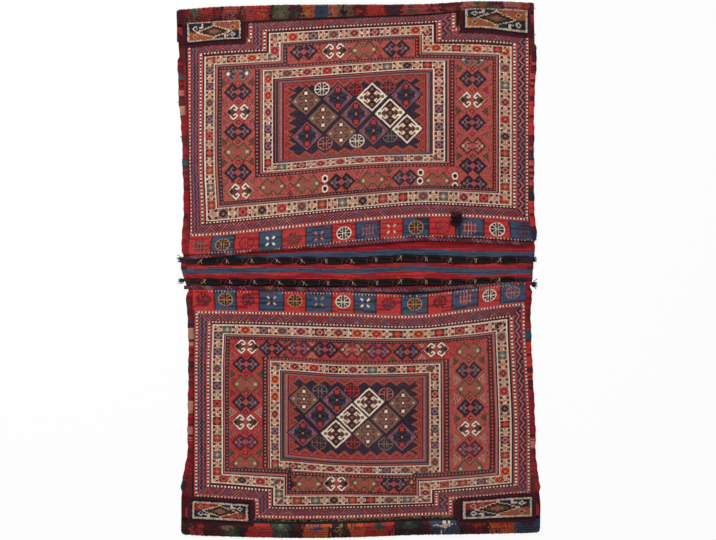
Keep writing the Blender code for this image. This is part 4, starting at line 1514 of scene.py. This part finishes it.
BINDING_DYES = {
    "upper_left": ((52, "maroon"), (57, "teal"), (74, "crimson"), (82, "teal"), (90, "crimson"),
                   (99, "rose"), (106, "maroon"), (116, "sand"), (160, "crimson"), (170, "teal"),
                   (214, "crimson"), (220, "ink"), (260, "crimson")),
    "upper_right": ((50, "maroon"), (58, "ink"), (90, "madder"), (150, "scarlet"), (160, "navy"),
                    (190, "madder"), (200, "ink"), (228, "scarlet"), (240, "navy"), (247, "crimson")),
    "lower_left": ((296, "crimson"), (320, "maroon"), (328, "ink"), (346, "sand"), (362, "crimson"),
                   (374, "ink"), (400, "crimson"), (414, "sand"), (428, "crimson"), (440, "rose"),
                   (480, "crimson"), (492, "ink")),
    "lower_right": ((292, "ink"), (330, "crimson"), (340, "teal"), (380, "scarlet"), (390, "ink"),
                    (440, "crimson"), (452, "rose"), (500, "crimson")),
}
BRIDGE_EDGE_DYES = ((250, "crimson"), (257, "blue"), (264, "ink"), (269, "crimson"), (274, "teal"),
                    (279, "crimson"), (292, "ink"))

# Where the overcasting of each side of a pouch and of the bridge starts and ends, in Y
BINDING_ENDS = {
    "upper_left": (0.0435, 0.640), "upper_right": (0.0825, 0.680),
    "lower_left": (-0.668, -0.0650), "lower_right": (-0.668, -0.0530),
}
BRIDGE_ENDS = {"left": (-0.062, 0.041), "right": (-0.050, 0.080)}

# Height of the overcasting's middle, half of its height, and its reach beyond the edge
POUCH_WRAP = (0.0073, 0.0073, 0.0066)
BRIDGE_WRAP = (0.00475, 0.0046, 0.0050)
TURN = 0.0042


def overcast_edge(name, side, ends, wrap, dyes, wool, node):
    """Yarn wrapped close round the edge of the cloth, turn by turn."""
    start, end = ends
    middle, half_height, reach = wrap
    y = np.arange(start, end, 0.0012)
    turns = np.abs(np.sin(np.pi * y / TURN))
    loose = 0.0006 * np.sin(y * 180) + 0.0008 * np.sin(y * 63 + 1)
    loose = loose + 0.0008 * (scatter(np.floor(y / TURN), 2) - 0.5)
    out = 1 if side == "right" else -1
    x = side_edge(side, y) + out * (reach - BIND_LEG) / 2
    path = np.column_stack([x, y, np.full_like(y, middle)])
    py = MIDDLE_Y - y / PIXEL
    dye_ends = np.array([entry[0] for entry in dyes], float)
    table = np.array([DYES[entry[1]] for entry in dyes])

    def dye_at(step):
        turn = np.floor(y[step] / TURN)
        at = py[step] + 2.5 * (scatter(turn, np.zeros(len(step))) - 0.5)
        chosen = table[np.clip(np.searchsorted(dye_ends, at), 0, len(dye_ends) - 1)]
        dark = scatter(np.floor(y[step] / (2 * TURN)), np.full(len(step), 9.0)) > 0.72
        chosen = np.where(dark[:, None], DYES["maroon"], chosen)
        return chosen * (0.7 + 0.55 * scatter(turn, np.ones(len(step))))[:, None]

    skein = Skein()
    taper = np.sqrt(np.clip(np.minimum(y - start, end - y) / 0.014, 0.05, 1))
    across_radius = ((reach + BIND_LEG) / 2 + 0.0010 * turns + loose) * taper
    add_tube(skein, path, across_radius, half_height - 0.0006 + 0.0007 * turns, 14, dye_at)
    piece = skein.piece(name, wool)
    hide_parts(node)
    return piece


# Pixel rows of the plait on each mouth at these columns
PLAIT_COLUMNS = (184, 215, 250, 300, 356, 415, 470, 525, 533)
MOUTH_LINES = {
    "upper": (257.9, 255.5, 250.6, 247.0, 243.4, 238.8, 240.5, 243.6, 244.0),
    "lower": (287.4, 287.8, 288.1, 289.3, 290.0, 290.2, 286.6, 283.4, 283.2),
}
PLAIT_DYES = {
    "upper": (("plum", "lilac"), ("plum", "lilac", "plum"), ("plum", "maroon")),
    "lower": (("plum", "lilac"), ("plum", "maroon", "lilac"), ("ink", "plum", "olive")),
}
MOUTH_HEIGHT = 0.0186
PLAIT_FOOT = 0.0040


def mouth_plait(pouch, wool):
    """The flat plaited edging along a mouth."""
    px = np.arange(PLAIT_COLUMNS[0], PLAIT_COLUMNS[-1] + 1, 3.0)
    x, y = across(px), along(smooth(px, PLAIT_COLUMNS, MOUTH_LINES[pouch]))
    rise = side_rise(from_side(x, y))
    z = CLOTH_THICK + PLAIT_FOOT + (MOUTH_HEIGHT - CLOTH_THICK - PLAIT_FOOT) * rise
    skein = Skein()
    path = np.column_stack([x, y, z])
    plait(skein, path, 0.0040, 0.0010, 0.0021, 0.0105, PLAIT_DYES[pouch], spacing=0.0015)
    piece = skein.piece(f"{pouch}_mouth_plait", wool)
    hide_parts(f"{pouch}_mouth_edging")
    return piece


LOOP_LENGTH = 0.070
LOOP_WIDTH = 0.0165
LOOP_DYES = ("black", "black", ("ink", "black", "brown"))
LOOP_COUNT = 13

# Y of the loops' middles, from 0 at the left edge to 1 at the right
LOOP_ROW = {
    "upper": ((0.00, 0.022), (0.13, 0.025), (0.25, 0.0265), (0.50, 0.025), (0.65, 0.034), (0.80, 0.0275),
              (1.00, 0.028)),
    "lower": ((0.00, -0.0375), (0.17, -0.0375), (0.35, -0.041), (0.55, -0.041), (0.66, -0.037),
              (0.78, -0.040), (0.90, -0.034), (1.00, -0.0295)),
}


def loop_path(x, y, z, tilt):
    """A long flat loop, from one end back to the same end."""
    radius = LOOP_WIDTH / 2 - 0.0035
    straight = LOOP_LENGTH / 2 - radius - 0.004
    angles = np.linspace(-np.pi / 2, np.pi / 2, 7)
    right = [(straight + radius * math.cos(a), radius * math.sin(a)) for a in angles]
    left = [(-straight - radius * math.cos(a), -radius * math.sin(a)) for a in angles]
    outline = np.array(right + left + [right[0]])
    rise = 0.0012 * np.abs(outline[:, 0]) / straight
    return np.column_stack([x + outline[:, 0], y + outline[:, 1] + tilt * outline[:, 0], z + rise])


def closure_loop(pouch, number, hair):
    """One braided loop lying along the bridge, with the pale threads that tie it down."""
    s = number / (LOOP_COUNT + 1)
    y = float(eased(LOOP_ROW[pouch], s))
    left, right = side_edge("left", y), side_edge("right", y)
    x = left + s * (right - left)
    skein = Skein()
    tilt = 0.10 * (scatter(np.array([number]), np.array([len(pouch)]))[0] - 0.5)
    path = loop_path(x, y, CLOTH_THICK + 0.0030, tilt)
    plait(skein, path, 0.0023, 0.0008, 0.0022, 0.013, LOOP_DYES, bands=6)
    half = LOOP_LENGTH * 0.42
    core = np.array([[x + share * half, y + tilt * share * half, CLOTH_THICK + 0.0022]
                     for share in (-1, 0, 1)])
    add_tube(skein, core, 0.0040, 0.0012, 6, plain_dye(DYES["black"]), (5 / 6, 0.99))
    lean = 0.0060 * (2 * scatter(np.array([number]), np.array([3 + len(pouch)]))[0] - 1)
    tie = x - LOOP_LENGTH / 2 + 0.016
    for band, away in ((3, -1), (4, 1)):
        start = np.array([tie + away * (0.0030 - abs(lean)), y + 0.0060 - lean / 3, CLOTH_THICK + 0.0078])
        end = np.array([tie + away * (0.0010 + abs(lean)) + lean, y - 0.0070, CLOTH_THICK + 0.0070])
        middle = (start + end) / 2 + np.array([0.0, 0.0, 0.0016])
        thread = smooth(np.linspace(0, 1, 9), (0, 0.5, 1), np.array([start, middle, end]))
        add_tube(skein, thread, 0.0008, 0.0008, 5, plain_dye(DYES["ivory"]), (band / 6, (band + 0.9) / 6))
    piece = skein.piece(f"{pouch}_loop_{number:02d}_braid", hair)
    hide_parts(f"{pouch}_loop_{number:02d}")
    return piece


def hair_bunch(skein, root, tip, spread, count, radius, names, wild=1.0):
    """Many hairs from one root, fanning out towards a tip."""
    root, tip = np.asarray(root, float), np.asarray(tip, float)
    share = np.linspace(0, 1, 8)[:, None]
    for k in range(count):
        off = (RNG.random(3) - 0.5) * 2
        off[2] = abs(off[2]) * 0.55
        reach = 0.72 + 0.36 * RNG.random()
        wander = (RNG.random(3) - 0.5) * spread * 0.9 * wild
        wander[2] *= 0.4
        path = root + (tip - root) * reach * share
        path = path + off * spread * share ** 0.8 + wander * np.sin(np.pi * share)
        path[:, 2] = np.maximum(path[:, 2], 0.0008)
        shade = DYES[names[k % len(names)]] * (0.7 + 0.6 * RNG.random())
        thick = radius * (1.1 - 0.7 * share[:, 0])
        add_tube(skein, path, thick, thick, 4, plain_dye(shade), (k / count, (k + 0.9) / count))


def tassel(hair):
    """The dark tassel that comes out of a slit of the upper face and lies on it."""
    skein = Skein()
    z = float(face_height("upper", np.array([457.0]), np.array([228.0]))[0])
    root = (across(459.3), along(236.5), z + 0.0012)
    neck = (across(458.6), along(227.0), z + 0.0040)
    tip = (across(456.0), along(214.5), z + 0.0045)
    hair_bunch(skein, root, neck, 0.0032, 34, 0.0011, ("teal", "ink", "navy"), wild=0.4)
    crown = (across(457.6), along(225.0), z + 0.0030)
    hair_bunch(skein, crown, tip, 0.0165, 130, 0.0010, ("black", "ink", "black", "maroon"), wild=1.2)
    side = (across(451.0), along(222.5), z + 0.0030)
    hair_bunch(skein, crown, side, 0.0095, 46, 0.0009, ("ink", "plum", "black"), wild=1.2)
    piece = skein.piece("face_tassel_hair", hair)
    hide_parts("face_tassel")
    return piece


# Where each corner tuft shows: the pixel of its root and of its tip
TUFTS = {
    ("upper", "left"): ((183.5, 259.5), (178.8, 260.0)),
    ("lower", "left"): ((184.0, 280.0), (179.6, 281.5)),
    ("upper", "right"): ((532.0, 259.5), (535.2, 259.8)),
    ("lower", "right"): ((531.8, 284.5), (535.6, 284.5)),
}


def corner_tuft(pouch, side, hair):
    """A tuft of dark hair at one end of a mouth."""
    (x0, y0), (x1, y1) = TUFTS[pouch, side]
    skein = Skein()
    root = (across(x0), along(y0), 0.0055)
    tip = (across(x1), along(y1), 0.0045)
    dyes = ("black", "ink", "teal" if side == "left" else "maroon")
    hair_bunch(skein, root, tip, 0.0085, 60, 0.0009, dyes)
    piece = skein.piece(f"{pouch}_{side}_hair", hair)
    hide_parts(f"{pouch}_{side}_tuft")
    return piece


# Loose ends of yarn at the sides: root and tip in the photograph, thickness, dye
LOOSE_ENDS = (
    ((182, 26), (176.6, 24), 0.0010, "ink"), ((181, 39), (176.8, 38), 0.0018, "teal"),
    ((182, 101), (177, 102), 0.0010, "ink"), ((184, 107), (179.4, 108), 0.0009, "sand"),
    ((184, 136), (179.4, 137), 0.0010, "ink"), ((531, 8), (536.0, 7.7), 0.0009, "maroon"),
    ((531, 34), (536.4, 34.4), 0.0009, "ink"), ((531, 73), (536.6, 73.7), 0.0010, "ink"),
    ((533, 236), (537.0, 233), 0.0012, "teal"), ((533, 240), (537.5, 240), 0.0010, "maroon"),
    ((532, 285), (537.5, 279), 0.0012, "ink"), ((532, 285), (536.6, 289.4), 0.0012, "ink"),
    ((181, 258), (176.5, 255), 0.0009, "ink"),
)


def loose_yarn(wool):
    skein = Skein()
    count = len(LOOSE_ENDS)
    for k, ((x0, y0), (x1, y1), thick, name) in enumerate(LOOSE_ENDS):
        start = np.array([across(x0), along(y0), 0.0100])
        end = np.array([across(x1), along(y1), 0.0012 + thick])
        middle = (start + end) / 2 + np.array([0.0, 0.0030, 0.0010])
        path = smooth(np.linspace(0, 1, 12), (0, 0.5, 1), np.array([start, middle, end]))
        add_tube(skein, path, thick, thick, 6, plain_dye(DYES[name]), (k / count, (k + 0.9) / count))
    return skein.piece("loose_yarn", wool)


# The set

def camera():
    made = bpy.data.cameras.new("camera")
    made.lens = LENS
    made.sensor_width = SENSOR
    eye = bpy.data.objects.new("camera", made)
    width = IMAGE_WIDTH * PIXEL
    x, y = float(across(IMAGE_WIDTH / 2)), float(along(IMAGE_HEIGHT / 2))
    eye.location = (x, y, width * LENS / SENSOR + 0.02)
    bpy.context.scene.collection.objects.link(eye)
    bpy.context.scene.camera = eye


def lamps():
    world = bpy.data.worlds.new("studio")
    world.use_nodes = True
    world.node_tree.nodes["Background"].inputs["Color"].default_value = (1.0, 1.0, 1.0, 1.0)
    world.node_tree.nodes["Background"].inputs["Strength"].default_value = GROUND_LIGHT
    bpy.context.scene.world = world
    lamp = bpy.data.lights.new("soft_lamp", "AREA")
    lamp.energy = LAMP_POWER
    lamp.shape = "DISK"
    lamp.size = 2.4
    placed = bpy.data.objects.new("soft_lamp", lamp)
    placed.location = (-1.6, 1.9, 3.2)
    placed.rotation_euler = (-0.54, -0.40, 0.0)
    bpy.context.scene.collection.objects.link(placed)


def ground():
    mesh = bpy.data.meshes.new("ground")
    half = 6.0
    corners = [(-half, -half, 0), (half, -half, 0), (half, half, 0), (-half, half, 0)]
    mesh.from_pydata(corners, [], [(0, 1, 2, 3)])
    mesh.materials.append(floor_material())
    floor = bpy.data.objects.new("ground", mesh)
    floor.location.z = -0.0005
    bpy.context.scene.collection.objects.link(floor)


def finished(piece):
    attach(piece, "root")
    return piece


def main():
    bpy.context.scene.view_settings.view_transform = "Standard"
    camera()
    lamps()
    ground()
    woven = wool_material("woven_wool", 900.0, 0.0007, 0.93, 0.25)
    plain = wool_material("striped_wool", 700.0, 0.0005, 0.92, 0.25)
    piled = wool_material("pile_wool", 1100.0, 0.0005, 0.95, 0.10)
    yarn = wool_material("wrapped_yarn", 800.0, 0.0005, 0.92, 0.20)
    hair = wool_material("dark_hair", 900.0, 0.0004, 0.70, 0.0)

    back = finished(back_weave(plain))
    for pouch in ("upper", "lower"):
        chart = face_chart(pouch)
        front = finished(front_weave(chart, woven))
        fold = Fold(pouch)
        finished(fold_cloth(fold, plain))
        finished(fold_knots(fold, piled))
        for side, box, _ in PANELS[pouch]:
            finished(corner_pile(pouch, chart, side, box, piled))
        for side in ("left", "right"):
            name = f"{pouch}_{side}"
            edge = overcast_edge(f"{name}_overcasting", side, BINDING_ENDS[name], POUCH_WRAP,
                                 BINDING_DYES[name], yarn, f"{name}_binding")
            finished(edge)
        finished(mouth_plait(pouch, yarn))
        for number in range(1, LOOP_COUNT + 1):
            finished(closure_loop(pouch, number, hair))
        for side in ("left", "right"):
            finished(corner_tuft(pouch, side, hair))
    for side, ends in BRIDGE_ENDS.items():
        edge = overcast_edge(f"bridge_{side}_yarn", side, ends, BRIDGE_WRAP, BRIDGE_EDGE_DYES, yarn,
                             f"bridge_{side}_selvedge")
        finished(edge)
    finished(tassel(hair))
    finished(loose_yarn(yarn))


main()
